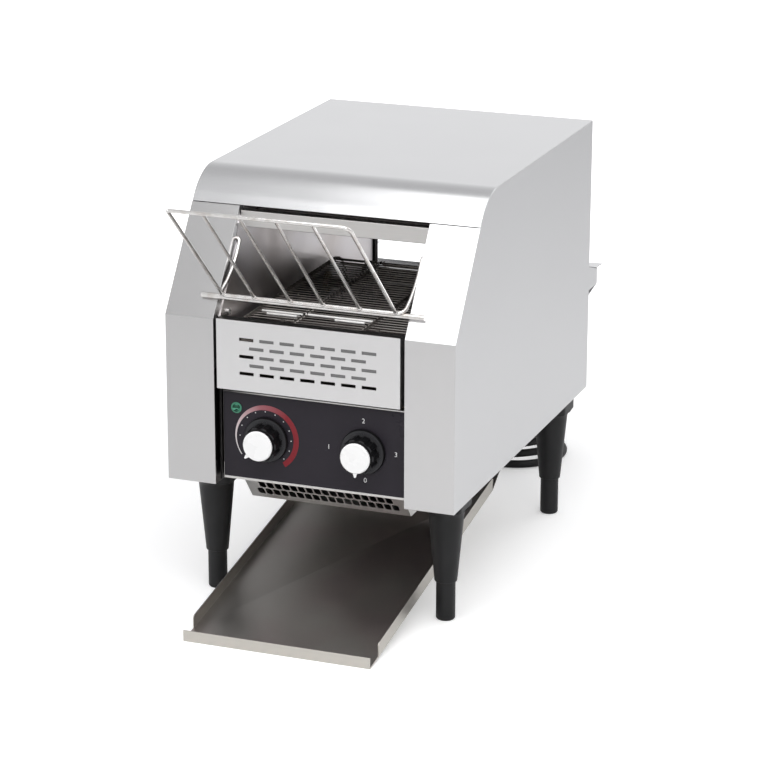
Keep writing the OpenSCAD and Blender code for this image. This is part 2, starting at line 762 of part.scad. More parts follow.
// Bread guide: parallel wires under one upper bar, bent sharply on the left
module rack_guide() {
    half = rack_w / 2;
    outer_r = 1.75;
    color("lightgray") from_front() leaning(bar_at, guide_angle) translate([guide_shift, 0, 0]) {
        bar([-half + guide_bends[0], guide_len, 0], [half - guide_bends[1], guide_len, 0],
            outer_r);
        for (s = [0, 1]) mirror([1 - s, 0, 0]) {
            bend = guide_bends[s];
            elbow([half - bend, guide_len - bend, 0], bend, outer_r, 0, 90);
            bar([half, frame_r, 0], [half, guide_len - bend, 0], outer_r);
        }
        for (x = guide_wires) bar([x.x, frame_r, 0], [x.y, guide_len, 0], wire_r);
    }
}

// Rod that rests on the leaning faces of both wings
module rack_stop_rod() {
    half = 110.5;
    color("lightgray") from_front() bar([-half, rod_at.x, rod_at.y],
        [half, rod_at.x, rod_at.y], rod_r);
}

// ---------------------------------------------------------------- belt

// Point on the belt's loop: s along it from the top of the front shaft, n outwards
function belt_at(s, n) = let (w = s - floor(s / (belt_count * belt_pitch)) * belt_count * belt_pitch)
    w < belt_run ? [front_shaft_y + w, belt_z + n]
    : w < belt_run + belt_turn ?
        let (a = (w - belt_run) / belt_turn * 180)
        [rear_shaft_y + (belt_r + n) * sin(a), shaft_z + (belt_r + n) * cos(a)]
    : w < 2 * belt_run + belt_turn ?
        [rear_shaft_y - (w - belt_run - belt_turn), shaft_z - belt_r - n]
    : let (a = (w - 2 * belt_run - belt_turn) / belt_turn * 180)
        [front_shaft_y - (belt_r + n) * sin(a), shaft_z - (belt_r + n) * cos(a)];

// One bend: the wire steps over its neighbour and on to the next pitch, leaning back
function bend_points(x, up) = let (a = wire_gap / 2, p = belt_pitch, h = bend_half,
        pts = [[x + h, -a, 0], [x + h - 0.8, a, bend_rise], [x - h + 0.8, p - 0.1, bend_rise],
            [x - h, p + a, 0]])
    up ? pts : [for (i = [3:-1:0]) [2 * x - pts[i].x, pts[i].y, pts[i].z]];

wire_path = [for (i = [0:len(bend_x) - 1]) each bend_points(bend_x[i], i % 2 == 1)];

function wire_points(k) = [for (q = wire_path)
    let (yz = belt_at(k * belt_pitch + q.y, q.z)) [q.x, yz.x, yz.y]];

function unit(v) = v / norm(v);

// Ring of points round p, square to t, with n as the upward hint
function ring(p, t, n, r, sides) = let (side = unit(cross(t, n)), up = cross(side, t))
    [for (i = [0:sides - 1]) p + r * (cos(360 * i / sides) * side + sin(360 * i / sides) * up)];

function tangents(pts) = let (last = len(pts) - 1,
    steps = [for (i = [0:last - 1]) unit(pts[i + 1] - pts[i])])
    [for (i = [0:last]) unit(steps[max(i - 1, 0)] + steps[min(i, last - 1)])];

// Closed tube of some sides along a list of points
module sweep(pts, normals, r, sides) {
    t = tangents(pts);
    count = len(pts);
    rings = [for (i = [0:count - 1]) each ring(pts[i], t[i], normals[i], r, sides)];
    walls = [for (i = [0:count - 2], j = [0:sides - 1]) let (k = (j + 1) % sides)
        [i * sides + j, i * sides + k, (i + 1) * sides + k, (i + 1) * sides + j]];
    polyhedron(rings, concat(walls, [[for (j = [sides - 1:-1:0]) j]],
        [[for (j = [0:sides - 1]) (count - 1) * sides + j]]), convexity = 4);
}

module belt_strand(k) {
    normals = [for (q = wire_path) let (s = k * belt_pitch + q.y, d = belt_at(s, 1) - belt_at(s, 0))
        [0, d.x, d.y]];
    sweep(wire_points(k), normals, belt_wire / 2, 4);
}

module conveyor_belt() {
    color("#3a3836") from_front() for (k = [0:belt_count - 1]) belt_strand(k);
}

module belt_sprocket() {
    root = belt_r - belt_wire / 2 - 0.3;
    tip = belt_r + 1.6;
    phase = (belt_pitch - wire_gap) / 2;
    rotate([90, 0, 90]) {
        translate([0, 0, -2]) linear_extrude(4) difference() {
            union() {
                circle(root);
                for (i = [0:belt_teeth - 1]) rotate(90 - (i + phase / belt_pitch) * 360 / belt_teeth)
                    polygon([[root - 2, -2.6], [tip, -1.1], [tip, 1.1], [root - 2, 2.6]]);
            }
            circle(shaft_r);
            for (i = [0:5]) rotate(i * 60) translate([15, 0]) circle(4);
        }
        translate([0, 0, 2]) linear_extrude(6) difference() {
            circle(9);
            circle(shaft_r);
        }
    }
}

module sprocket_pair(y) {
    color("slategray") from_front() for (x = [-sprocket_x, sprocket_x])
        translate([x, y, shaft_z]) belt_sprocket();
}

module drive_sprockets() { sprocket_pair(front_shaft_y); }
module idler_sprockets() { sprocket_pair(rear_shaft_y); }

module drive_shaft() {
    color("silver") from_front()
        bar([-100, front_shaft_y, shaft_z], [110, front_shaft_y, shaft_z], shaft_r);
}

module idler_shaft() {
    color("silver") from_front()
        bar([-100, rear_shaft_y, shaft_z], [100, rear_shaft_y, shaft_z], shaft_r);
}

module shaft_bushes() {
    color("peru") from_front() both_sides() for (y = [front_shaft_y, rear_shaft_y])
        translate([wall_x - 4, y, shaft_z]) rotate([0, 90, 0]) difference() {
            union() {
                cylinder(r = bush_r, h = 8);
                translate([0, 0, 2]) cylinder(r = 10.5, h = 2);
            }
            translate([0, 0, -1]) cylinder(r = shaft_r + 0.05, h = 10);
        }
}

// ---------------------------------------------------------------- heaters

module heater_tubes(places) {
    color("#d8d4cc") from_front() for (h = places)
        bar([-102, h.x, h.y], [102, h.x, h.y], heater_r - 1);
}

module upper_heater_tubes() { heater_tubes(upper_heaters); }
module lower_heater_tubes() { heater_tubes(lower_heaters); }

module heater_end_caps() {
    color("ivory") from_front() both_sides() for (h = concat(upper_heaters, lower_heaters))
        translate([wall_x + sheet, h.x, h.y]) rotate([0, 90, 0]) {
            difference() {
                cylinder(r = heater_r + 3, h = 7);
                translate([0, 0, -1]) cylinder(r = heater_r - 0.9, h = 9);
            }
            translate([0, 0, 7.1]) cylinder(r = heater_r - 1, h = 2);
            translate([0, 0, 7]) difference() {
                cylinder(r = heater_r + 3, h = 2.1);
                translate([0, 0, -1]) cylinder(r = heater_r - 1, h = 5);
            }
        }
}

// ---------------------------------------------------------------- chain drive

// Centre line of the chain, s from the upper tangent point on the driven wheel. The
// wheels lie on a level line in this plane and are turned into place afterwards.
chain_flat = wheel_gap * cos(chain_lean);
motor_wrap = (180 - 2 * chain_lean) / 180 * PI * motor_r;
driven_wrap = (180 + 2 * chain_lean) / 180 * PI * driven_r;

function chain_at(s) = let (u = [sin(chain_lean), cos(chain_lean)], v = [cos(chain_lean), -sin(chain_lean)])
    s < chain_flat ? driven_r * u + s * v
    : s < chain_flat + motor_wrap ?
        let (a = 90 - chain_lean - (s - chain_flat) / motor_r * 180 / PI)
        [wheel_gap + motor_r * cos(a), motor_r * sin(a)]
    : s < 2 * chain_flat + motor_wrap ?
        let (w = s - chain_flat - motor_wrap)
        [wheel_gap + motor_r * u.x - w * v.x, -motor_r * u.y + w * v.y]
    : let (a = chain_lean - 90 - (s - 2 * chain_flat - motor_wrap) / driven_r * 180 / PI)
        [driven_r * cos(a), driven_r * sin(a)];

module chain_band_2d(grow) {
    hull() {
        circle(driven_r + grow);
        translate([wheel_gap, 0]) circle(motor_r + grow);
    }
}

// Places a drawing of the chain's plane at the drive shaft, in the right-hand cavity
module chain_plane() {
    translate([chain_x, front_shaft_y, shaft_z]) rotate([90, 0, 90]) rotate(motor_angle)
        children();
}

module drive_chain() {
    plate = 0.9;
    color("#55534f") from_front() chain_plane() {
        for (z = [-2.4, 2.4 - plate]) translate([0, 0, z]) linear_extrude(plate) difference() {
            chain_band_2d(2.6);
            chain_band_2d(-2.6);
        }
        for (i = [0:chain_links - 1]) translate(chain_at(i * chain_pitch))
            translate([0, 0, -2]) cylinder(r = roller_r, h = 4, $fn = 24);
    }
}

// Toothed wheel whose gaps hold the rollers, the first one at the given angle
module chain_wheel_2d(r, teeth, first) {
    seat = chain_pitch / 2 / sin(180 / teeth);
    difference() {
        circle(r + 1.3);
        for (i = [0:teeth - 1]) rotate(first + i * 360 / teeth) {
            translate([r, 0]) circle(roller_r + 0.25, $fn = 24);
            translate([r + 1.6, 0]) square([3.2, 3.8], center = true);
        }
    }
}

first_on_driven = let (gap = ceil((2 * chain_flat + motor_wrap) / chain_pitch) * chain_pitch,
    p = chain_at(gap)) atan2(p.y, p.x);
first_on_motor = let (gap = ceil(chain_flat / chain_pitch) * chain_pitch, p = chain_at(gap))
    atan2(p.y, p.x - wheel_gap);

module driven_chain_wheel() {
    color("slategray") from_front() chain_plane() difference() {
        union() {
            translate([0, 0, -1.1]) linear_extrude(2.2)
                chain_wheel_2d(driven_r, driven_teeth, first_on_driven);
            translate([0, 0, -4]) cylinder(r = 9, h = 3);
        }
        translate([0, 0, -5]) cylinder(r = shaft_r, h = 10);
    }
}

module motor_chain_wheel() {
    color("slategray") from_front() chain_plane() translate([wheel_gap, 0, 0]) {
        translate([0, 0, -1.1]) linear_extrude(2.2)
            chain_wheel_2d(motor_r, motor_teeth, first_on_motor);
        translate([0, 0, -5]) cylinder(r = 7, h = 4);
        translate([0, 0, -30]) cylinder(r = motor_shaft_r, h = 33);
    }
}

module gear_motor() {
    gear_x = 90;
    color("lightslategray") from_front() translate([0, motor_y, motor_z]) rotate([0, -90, 0])
        difference() {
            union() {
                translate([0, 0, -gear_x]) linear_extrude(24) plate_2d(60, 60, 6);
                translate([-8, 0, -gear_x + 24]) cylinder(r = 24, h = 30);
                translate([-8, 0, -gear_x + 54]) cylinder(r = 10, h = 4);
            }
            translate([0, 0, -gear_x - 1]) cylinder(r = motor_shaft_r + 0.06, h = 20);
        }
}

module motor_standoffs() {
    color("silver") from_front() for (y = [-24, 24], z = [-24, 24])
        bar([90, motor_y + y, motor_z + z], [wall_x, motor_y + y, motor_z + z], 4);
}

// ---------------------------------------------------------------- fan and wiring

module fan_frame() {
    color("#202022") from_front() translate([fan_x, fan_y, fan_z]) {
        difference() {
            linear_extrude(fan_h) plate_2d(fan_size, fan_size, 5);
            translate([0, 0, -1]) cylinder(r = 37.5, h = fan_h + 2);
            for (x = [-1, 1], y = [-1, 1]) translate([x * 35.7, y * 35.7, -1])
                cylinder(r = 2.1, h = fan_h + 2);
        }
        difference() {
            union() {
                cylinder(r = 15, h = 4);
                for (a = [45:90:315]) rotate(a) translate([12, -2, 0]) cube([27, 4, 3]);
            }
            translate([0, 0, 2]) cylinder(r = 2.06, h = 10);
        }
    }
}

module fan_rotor() {
    color("#303034") from_front() translate([fan_x, fan_y, fan_z]) {
        translate([0, 0, 6]) cylinder(r = 16, h = 17);
        translate([0, 0, 2.5]) cylinder(r = 2, h = 4);
        for (i = [0:6]) rotate(i * 360 / 7) translate([15, 0, 14.5]) rotate([35, 0, 0])
            translate([0, -10, -0.8]) cube([20.5, 20, 1.6]);
    }
}

module terminal_block() {
    low = [-139, 330, body_bottom + sheet];
    color("white") from_front() difference() {
        union() {
            block(low, low + [22, 54, 6]);
            for (i = [0:3]) block(low + [2, 2 + 13 * i, 5], low + [20, 13 * (i + 1), 20]);
        }
        for (i = [0:3]) translate(low + [11, 7.5 + 13 * i, 10]) cylinder(r = 2.2, h = 12);
        for (i = [0:3]) translate(low + [-1, 7.5 + 13 * i, 9]) rotate([0, 90, 0])
            cylinder(r = 2, h = 30);
    }
}

// ---------------------------------------------------------------- mains lead

module cord_gland() {
    color("#1a1a1b") from_front() translate([gland.x, body_d, gland.y]) rotate([-90, 0, 0])
        difference() {
            union() {
                translate([0, 0, -8]) cylinder(r = 8.9, h = 9);
                cylinder(r = 12, h = 5);
                translate([0, 0, 5]) cylinder(r1 = 7.6, r2 = 5, h = 27);
                for (i = [0:5]) translate([0, 0, 6.5 + 4.4 * i]) cylinder(r = 9 - 0.6 * i, h = 2.6);
            }
            translate([0, 0, -9]) cylinder(r = cord_r, h = 45);
        }
}

module cord_tube() {
    color("#141415") from_front() {
        sweep(concat([[gland.x, body_d + 2, gland.y], [gland.x, 436, gland.y]], cord_route),
            [for (i = [0:len(cord_route) + 1]) [1, 0.01, 0.02]], cord_r, 8);
    }
}

// The stacked turns as one ring of their outer shape
module cord_coil() {
    color("#141415") from_front() translate([coil_at.x, coil_at.y, 0.05]) rotate_extrude()
        translate([coil_r - cord_r, 0]) square([cord_d + coil_wide, coil_h]);
}

module cord_tail() {
    color("#141415") from_front()
        sweep(tail_route, [for (p = tail_route) [0.01, 0.02, 1]], cord_r, 8);
}

module plug_body() {
    color("#141415") from_front() translate(plug_at) rotate([0, -90, 0]) difference() {
        union() {
            cylinder(r1 = 5.6, r2 = 7.5, h = 16);
            translate([0, 0, 16]) cylinder(r1 = 12, r2 = 18, h = 12);
            translate([0, 0, 28]) cylinder(r = 18, h = 16);
        }
        for (s = [-1, 1]) translate([0, s * 9.5, 30]) cylinder(r = 2.4, h = 20);
        for (s = [-1, 1]) translate([s * 18.3, 0, 28]) cylinder(r = 3, h = 20);
    }
}

module plug_pins() {
    color("silver") from_front() translate(plug_at) rotate([0, -90, 0])
        for (s = [-1, 1]) translate([0, s * 9.5, 30]) {
            cylinder(r = 2.4, h = 31.5);
            translate([0, 0, 31.5]) cylinder(r1 = 2.4, r2 = 1.4, h = 1.5);
        }
}

side_panel_left();
side_panel_right();
top_cover();
rear_panel();
inner_wall_left();
inner_wall_right();
lintel();
upper_reflector();
vent_panel();
control_box();
control_panel();
bottom_pan();
deck_plate();
rear_baffle();
tray_rails();
upper_heater_tubes();
lower_heater_tubes();
heater_end_caps();
conveyor_belt();
drive_shaft();
drive_sprockets();
idler_shaft();
idler_sprockets();
shaft_bushes();
driven_chain_wheel();
motor_chain_wheel();
drive_chain();
gear_motor();
motor_standoffs();
fan_frame();
fan_rotor();
terminal_block();
speed_regulator();
selector_switch();
indicator_lamp();
indicator_lens();
colour_knob();
colour_knob_cap();
selector_knob();
selector_knob_cap();
rack_frame();
rack_guide();
rack_stop_rod();
collection_tray();
rear_hood();
leg_front_left();
leg_front_right();
leg_rear_left();
leg_rear_right();
foot_front_left();
foot_front_right();
foot_rear_left();
foot_rear_right();
panel_screws();
cord_gland();
cord_tube();
cord_coil();
cord_tail();
plug_body();
plug_pins();
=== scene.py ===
"""Looks of the conveyor toaster: finishes, edges, wires, printed scale and the mains lead."""

import json
import math

import bpy
from mathutils import Matrix, Vector

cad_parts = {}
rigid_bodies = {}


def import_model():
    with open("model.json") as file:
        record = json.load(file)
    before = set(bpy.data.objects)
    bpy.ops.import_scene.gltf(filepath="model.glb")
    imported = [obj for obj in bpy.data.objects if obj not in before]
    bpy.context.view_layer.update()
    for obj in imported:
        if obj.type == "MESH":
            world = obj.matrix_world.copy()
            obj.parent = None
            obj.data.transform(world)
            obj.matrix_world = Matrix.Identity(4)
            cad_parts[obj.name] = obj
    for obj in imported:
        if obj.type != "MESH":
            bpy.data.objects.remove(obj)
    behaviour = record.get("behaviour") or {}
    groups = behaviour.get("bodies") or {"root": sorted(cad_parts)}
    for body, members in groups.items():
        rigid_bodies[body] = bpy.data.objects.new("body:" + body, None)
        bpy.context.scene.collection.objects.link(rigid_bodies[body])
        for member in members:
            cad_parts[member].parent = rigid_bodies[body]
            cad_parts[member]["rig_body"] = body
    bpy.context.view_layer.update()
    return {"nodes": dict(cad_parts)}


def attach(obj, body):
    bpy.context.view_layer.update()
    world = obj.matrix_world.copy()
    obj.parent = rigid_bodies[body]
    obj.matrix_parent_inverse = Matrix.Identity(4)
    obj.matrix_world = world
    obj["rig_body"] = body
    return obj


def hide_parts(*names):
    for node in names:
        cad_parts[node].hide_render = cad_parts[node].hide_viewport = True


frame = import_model()
NODES = frame["nodes"]

# All measures below are in millimetres and degrees, unless they say otherwise
MM = 0.001
# The wings' front face, from which all depths are measured
FRONT = -196


def place(x, depth, height):
    """A point of the machine in the frame's metres, from its width, depth and height."""
    return Vector((x, FRONT + depth, height)) * MM


# ---------------------------------------------------------------- camera

# The camera's place in metres, its three angles, its lens and the width of its sensor
CAMERA_AT = (0.963, -2.5458, 1.0434)
CAMERA_TURN, CAMERA_DIP, CAMERA_ROLL = 20.701, 17.647, 0.111
LENS, SENSOR = 135.16, 36


def turn(degrees, axis):
    return Matrix.Rotation(math.radians(degrees), 4, axis)


def make_camera():
    data = bpy.data.cameras.new("camera")
    data.lens, data.sensor_width = LENS, SENSOR
    camera = bpy.data.objects.new("camera", data)
    camera.matrix_world = (Matrix.Translation(CAMERA_AT) @ turn(CAMERA_TURN, "Z")
                           @ turn(90 - CAMERA_DIP, "X") @ turn(CAMERA_ROLL, "Z"))
    bpy.context.scene.collection.objects.link(camera)
    bpy.context.scene.camera = camera


# ---------------------------------------------------------------- making pieces

# Edges that turn by more than this are rounded, or left sharp where the rounding is 0
EDGE_ANGLE = 32
# How near the corners of two faces are, in metres, to be one corner
SAME_CORNER = 2e-6


def deselect():
    for thing in bpy.context.view_layer.objects:
        thing.select_set(False)


def only(piece):
    deselect()
    piece.select_set(True)
    bpy.context.view_layer.objects.active = piece


def link(name, data):
    piece = bpy.data.objects.new(name, data)
    bpy.context.scene.collection.objects.link(piece)
    return piece


def joined(pieces, name):
    """One piece made of several, named and selected."""
    only(pieces[0])
    for piece in pieces:
        piece.select_set(True)
    bpy.ops.object.join()
    whole = bpy.context.object
    whole.name = name
    return whole


def body_of(node_name):
    return NODES[node_name]["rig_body"]


def settle(piece, body, finish, nodes=()):
    """Puts a finished piece on its body, with its finish and the nodes it stands for."""
    piece.data.materials.clear()
    piece.data.materials.append(FINISHES[finish])
    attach(piece, body)
    if nodes:
        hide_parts(*nodes)
    return piece


def apply_modifier(piece, kind, **settings):
    only(piece)
    modifier = piece.modifiers.new(kind.title(), kind)
    for name, value in settings.items():
        setattr(modifier, name, value)
    bpy.ops.object.modifier_apply(modifier=modifier.name)


def merged_copy(node_name):
    """An own copy of a node's mesh with its corners joined."""
    piece = link(node_name + "_finished", NODES[node_name].data.copy())
    only(piece)
    if piece.data.has_custom_normals:
        bpy.ops.mesh.customdata_custom_splitnormals_clear()
    bpy.ops.object.mode_set(mode="EDIT")
    bpy.ops.mesh.select_all(action="SELECT")
    bpy.ops.mesh.remove_doubles(threshold=SAME_CORNER)
    bpy.ops.object.mode_set(mode="OBJECT")
    return piece


def soften(piece, width, segments=2):
    """Rounds every real edge by a width, if it isn't 0, and smooths the rest."""
    only(piece)
    bpy.ops.object.shade_smooth()
    if width:
        apply_modifier(piece, "BEVEL", width=width * MM, segments=segments, limit_method="ANGLE",
                       angle_limit=math.radians(EDGE_ANGLE), use_clamp_overlap=False,
                       harden_normals=True, miter_outer="MITER_ARC")
    else:
        bpy.ops.object.shade_smooth_by_angle(angle=math.radians(EDGE_ANGLE))


def finished_copy(node_name, finish, width):
    """A CAD piece with real edges: the node's own shape, its corners slightly round."""
    piece = merged_copy(node_name)
    soften(piece, width)
    return settle(piece, body_of(node_name), finish, [node_name])


def smooth_line(points):
    """A curve data block with one smooth open spline through the points."""
    data = bpy.data.curves.new("line", "CURVE")
    data.dimensions = "3D"
    spline = data.splines.new("BEZIER")
    spline.bezier_points.add(len(points) - 1)
    for knot, point in zip(spline.bezier_points, points):
        knot.co = point
        knot.handle_left_type = knot.handle_right_type = "AUTO"
    return data


# ---------------------------------------------------------------- shader helpers

def node(tree, kind, feeds=None, **settings):
    """Adds a shader node with its settings, then feeds its sockets with links or values."""
    made = tree.nodes.new("ShaderNode" + kind)
    for name, value in settings.items():
        setattr(made, name, value)
    for socket, source in (feeds or {}).items():
        if isinstance(source, bpy.types.NodeSocket):
            tree.links.new(source, made.inputs[socket])
        else:
            made.inputs[socket].default_value = source
    return made


def shaded_point(tree):
    return node(tree, "TexCoord").outputs["Object"]


def parts(tree, vector):
    """Width, depth and height of a vector, as three sockets."""
    return node(tree, "SeparateXYZ", {0: vector}).outputs


def facing(tree):
    """The way the face looks, as the three parts of its normal."""
    return parts(tree, node(tree, "TexCoord").outputs["Normal"])


def maths(tree, operation, first, second=0.0):
    return node(tree, "Math", {0: first, 1: second}, operation=operation).outputs[0]


def spread(tree, value, low, high, start=0.0, end=1.0):
    """Maps a value that runs from start to end onto low to high."""
    return node(tree, "MapRange", {"Value": value, "From Min": start, "From Max": end,
                                   "To Min": low, "To Max": high}).outputs[0]


def rises(tree, value, start, end):
    """Mask that grows from none at the start to all at the end, for a value in metres."""
    return spread(tree, value, 0, 1, start * MM, end * MM)


def falls(tree, value, start, end):
    """Mask that fades from all at the start to none at the end, for a value in metres."""
    return spread(tree, value, 1, 0, start * MM, end * MM)


def within(tree, value, middle, reach):
    """Mask of where a value in metres is no further than the reach from the middle."""
    return node(tree, "Math", {0: value, 1: middle * MM, 2: reach * MM},
                operation="COMPARE").outputs[0]


def mix_colours(tree, factor, first, second):
    return node(tree, "Mix", {0: factor, 6: first, 7: second}, data_type="RGBA").outputs[2]


def colour_ramp(tree, factor, stops):
    """Colours that change along a factor, from stops of a place and a colour each."""
    ramp = node(tree, "ValToRGB", {0: factor})
    elements = ramp.color_ramp.elements
    for _ in stops[2:]:
        elements.new(0.5)
    for element, (at, colour) in zip(elements, stops):
        element.position, element.color = at, rgba(*colour)
    return ramp.outputs[0]


def noise(tree, vector, scale, detail=3.0, roughness=0.55):
    return node(tree, "TexNoise", {"Vector": vector, "Scale": scale, "Detail": detail,
                                   "Roughness": roughness}).outputs[0]


def group(name, inputs, outputs):
    """An empty shader group with named sockets, and its entry and exit nodes."""
    tree = bpy.data.node_groups.new(name, "ShaderNodeTree")
    for label, kind, value in inputs:
        socket = tree.interface.new_socket(name=label, in_out="INPUT", socket_type=kind)
        socket.default_value = value
    for label, kind in outputs:
        tree.interface.new_socket(name=label, in_out="OUTPUT", socket_type=kind)
    return tree, tree.nodes.new("NodeGroupInput").outputs, tree.nodes.new("NodeGroupOutput")


# Faces that look sideways more than this are brushed along the depth, the others across
SIDEWAYS = 0.7


def brushing_group():
    """Fine level lines along every sheet, with broad slow changes of tone."""
    tree, given, out = group("brushing", [
        ("Lines per metre", "NodeSocketFloat", 300.0),
        ("Streaks per metre", "NodeSocketFloat", 5.0)],
        [("Lines", "NodeSocketFloat"), ("Broad", "NodeSocketFloat")])
    where = shaded_point(tree)
    on_side = maths(tree, "GREATER_THAN", maths(tree, "ABSOLUTE", facing(tree)[0]), SIDEWAYS)
    fine, slow = given["Lines per metre"], given["Streaks per metre"]
    along_x = node(tree, "CombineXYZ", {0: slow, 1: fine, 2: fine}).outputs[0]
    along_y = node(tree, "CombineXYZ", {0: fine, 1: slow, 2: fine}).outputs[0]
    stretch = node(tree, "Mix", {0: on_side, 4: along_x, 5: along_y}, data_type="VECTOR")
    scaled = node(tree, "VectorMath", {0: where, 1: stretch.outputs[1]},
                  operation="MULTIPLY").outputs[0]
    tree.links.new(noise(tree, scaled, 1.0, 4.0, 0.7), out.inputs["Lines"])
    tree.links.new(noise(tree, where, 9.0, 2.0), out.inputs["Broad"])
    return tree


def smudges_group():
    """Soft patches where hands and cloths have been, as a roughness value."""
    tree, given, out = group("smudges", [
        ("Patches per metre", "NodeSocketFloat", 18.0), ("Low", "NodeSocketFloat", 0.28),
        ("High", "NodeSocketFloat", 0.38)], [("Value", "NodeSocketFloat")])
    patches = noise(tree, shaded_point(tree), given["Patches per metre"], 5.0, 0.6)
    value = node(tree, "MapRange", {"Value": patches, "From Min": 0.3, "From Max": 0.7,
                                    "To Min": given["Low"], "To Max": given["High"]})
    tree.links.new(value.outputs[0], out.inputs["Value"])
    return tree


def grain_group():
    """Fine moulded grain, as a height, with slow changes of tone as a mask."""
    tree, given, out = group("grain", [("Grains per metre", "NodeSocketFloat", 900.0)],
                             [("Height", "NodeSocketFloat"), ("Tone", "NodeSocketFloat")])
    where = shaded_point(tree)
    cells = node(tree, "TexVoronoi", {"Vector": where, "Scale": given["Grains per metre"]})
    tree.links.new(cells.outputs["Distance"], out.inputs["Height"])
    tree.links.new(noise(tree, where, 30.0, 4.0), out.inputs["Tone"])
    return tree


def heat_group():
    """Colour of sheet that has been hot: grey, then straw, then brown and blue patches."""
    tree, given, out = group("heat_colours", [
        ("Cold", "NodeSocketColor", (0.3, 0.3, 0.3, 1)),
        ("Straw", "NodeSocketColor", (0.3, 0.26, 0.2, 1)),
        ("Burnt", "NodeSocketColor", (0.1, 0.09, 0.1, 1)),
        ("Patches per metre", "NodeSocketFloat", 12.0)], [("Color", "NodeSocketColor")])
    patches = noise(tree, shaded_point(tree), given["Patches per metre"], 1.0, 0.5)
    straw = mix_colours(tree, spread(tree, patches, 0, 1, 0.4, 0.62), given["Cold"],
                        given["Straw"])
    burnt = mix_colours(tree, spread(tree, patches, 0, 1, 0.58, 0.8), straw, given["Burnt"])
    tree.links.new(burnt, out.inputs["Color"])
    return tree


def wear_and_highlight_group():
    """Mask of the convex edges, broken up, where handling has polished them and painted highlight
    pales them.
    """
    tree, given, out = group("edge_wear_and_highlight", [("Width", "NodeSocketFloat", 0.0006)],
                             [("Mask", "NodeSocketFloat")])
    rounded = node(tree, "Bevel", {"Radius": given["Width"]}, samples=4).outputs[0]
    own = node(tree, "NewGeometry").outputs["Normal"]
    alike = node(tree, "VectorMath", {0: rounded, 1: own}, operation="DOT_PRODUCT")
    edge = spread(tree, alike.outputs["Value"], 1.0, 0.0, 0.86, 0.995)
    broken = noise(tree, shaded_point(tree), 140.0, 4.0)
    mask = maths(tree, "MULTIPLY", edge, spread(tree, broken, 0.0, 1.0, 0.35, 0.6))
    tree.links.new(mask, out.inputs["Mask"])
    return tree


GROUPS = {"brushing": brushing_group(), "smudges": smudges_group(), "grain": grain_group(),
          "heat": heat_group(), "wear_and_highlight": wear_and_highlight_group()}


def effect(tree, name, feeds=None):
    return node(tree, "Group", feeds, node_tree=GROUPS[name]).outputs


def shaded(name, **constants):
    """A material whose shader's plain sockets are set, ready for its own pattern."""
    material = bpy.data.materials.new(name)
    material.use_nodes = True
    tree = material.node_tree
    shader = tree.nodes["Principled BSDF"]
    for label, value in constants.items():
        shader.inputs[label.replace("_", " ")].default_value = value
    return material, tree, shader


def feed(tree, shader, **sources):
    for label, source in sources.items():
        tree.links.new(source, shader.inputs[label.replace("_", " ")])


def bump(tree, height, distance):
    """Bumps of a real height."""
    return node(tree, "Bump", {"Height": height, "Distance": distance * MM,
                               "Strength": 1.0}).outputs[0]


def smudged(tree, roughness, **settings):
    """Roughness in patches between its low and its high value."""
    low, high = roughness
    return effect(tree, "smudges", {"Low": low, "High": high, **settings})["Value"]


def rgba(*colour):
    return (*colour, 1.0)


# ---------------------------------------------------------------- finishes

# Fine lines by the metre of brushed sheet and of heated sheet, their depth, and their share
# in the tone, which broad slow changes have the rest of
BRUSH_LINES, HEATED_LINES, BRUSH_DEPTH, LINES_SHARE = 900.0, 500.0, 0.0006, 0.6
# The depth part of a normal where a face starts to look forwards and does so wholly, for
# upright fronts, for the wings' slopes and for plastic
FRONT_TURN, SLOPE_TURN, PLASTIC_TURN = (-0.97, -0.995), (-0.7, -0.82), (-0.9, -0.98)
# Depth of the vent panel's face, and how far behind it the painted shade in the slots starts
# and is full
VENT_FACE, SLOT_SHADE_FROM, SLOT_SHADE_TO = 1.6, 0.5, 0.8
# The recess left of the control panel: its top, the middle and the reach of its depth, and
# the grey of its shade
RECESS_TOP, RECESS_DEPTH, RECESS_REACH, RECESS_GREY = 239, 17, 15.8, (0.1, 0.096, 0.096)
# Width's middle and reach of that shade, how far it fades to the right, and its lowest point,
# on the walls beside the recess and on the sheet behind it
WALL_SHADE, SHEET_SHADE = (-94, 2.4, 0.5, 120), (-70, 27, 40, 145)
# Painted shade on the inner walls beside and below the belt: depths where it starts and is full,
# depths where it fades and ends, and heights where it fades and ends
BELT_SHADE_START, BELT_SHADE_END, BELT_SHADE_TOP = (70, 110), (286, 302), (262, 272)
# Width of the belt's bends on both sides of the middle, and how far from there they shine
BEND_INNER, BEND_OUTER, BEND_REACH = 36, 84, 3.2
# Depths between which painted light makes the belt paler towards the rear, and heights where
# the painted shade that blackens its lower run ends
REAR_LIGHT_DEPTHS, LOWER_RUN_SHADE = (170, 270), (258, 264)
# Height part of a normal where a face starts to look up and does so wholly
LOOKS_UP = (0.5, 0.8)


def recess(tree, middle, reach, fade, low):
    """Mask of the shade in the narrow recess left of the control panel."""
    x, y, z = parts(tree, shaded_point(tree))
    level = maths(tree, "MULTIPLY", within(tree, y, FRONT + RECESS_DEPTH, RECESS_REACH),
                  within(tree, z, (RECESS_TOP + low) / 2, (RECESS_TOP - low) / 2))
    right = middle + reach
    beside = maths(tree, "MULTIPLY", within(tree, x, middle, reach),
                   falls(tree, x, right - fade, right))
    return maths(tree, "MULTIPLY", level, beside)


def looking_forwards(tree, begins, ends):
    """Mask of the faces whose normal's depth part goes beyond what is given."""
    return spread(tree, facing(tree)[1], 1, 0, ends, begins)


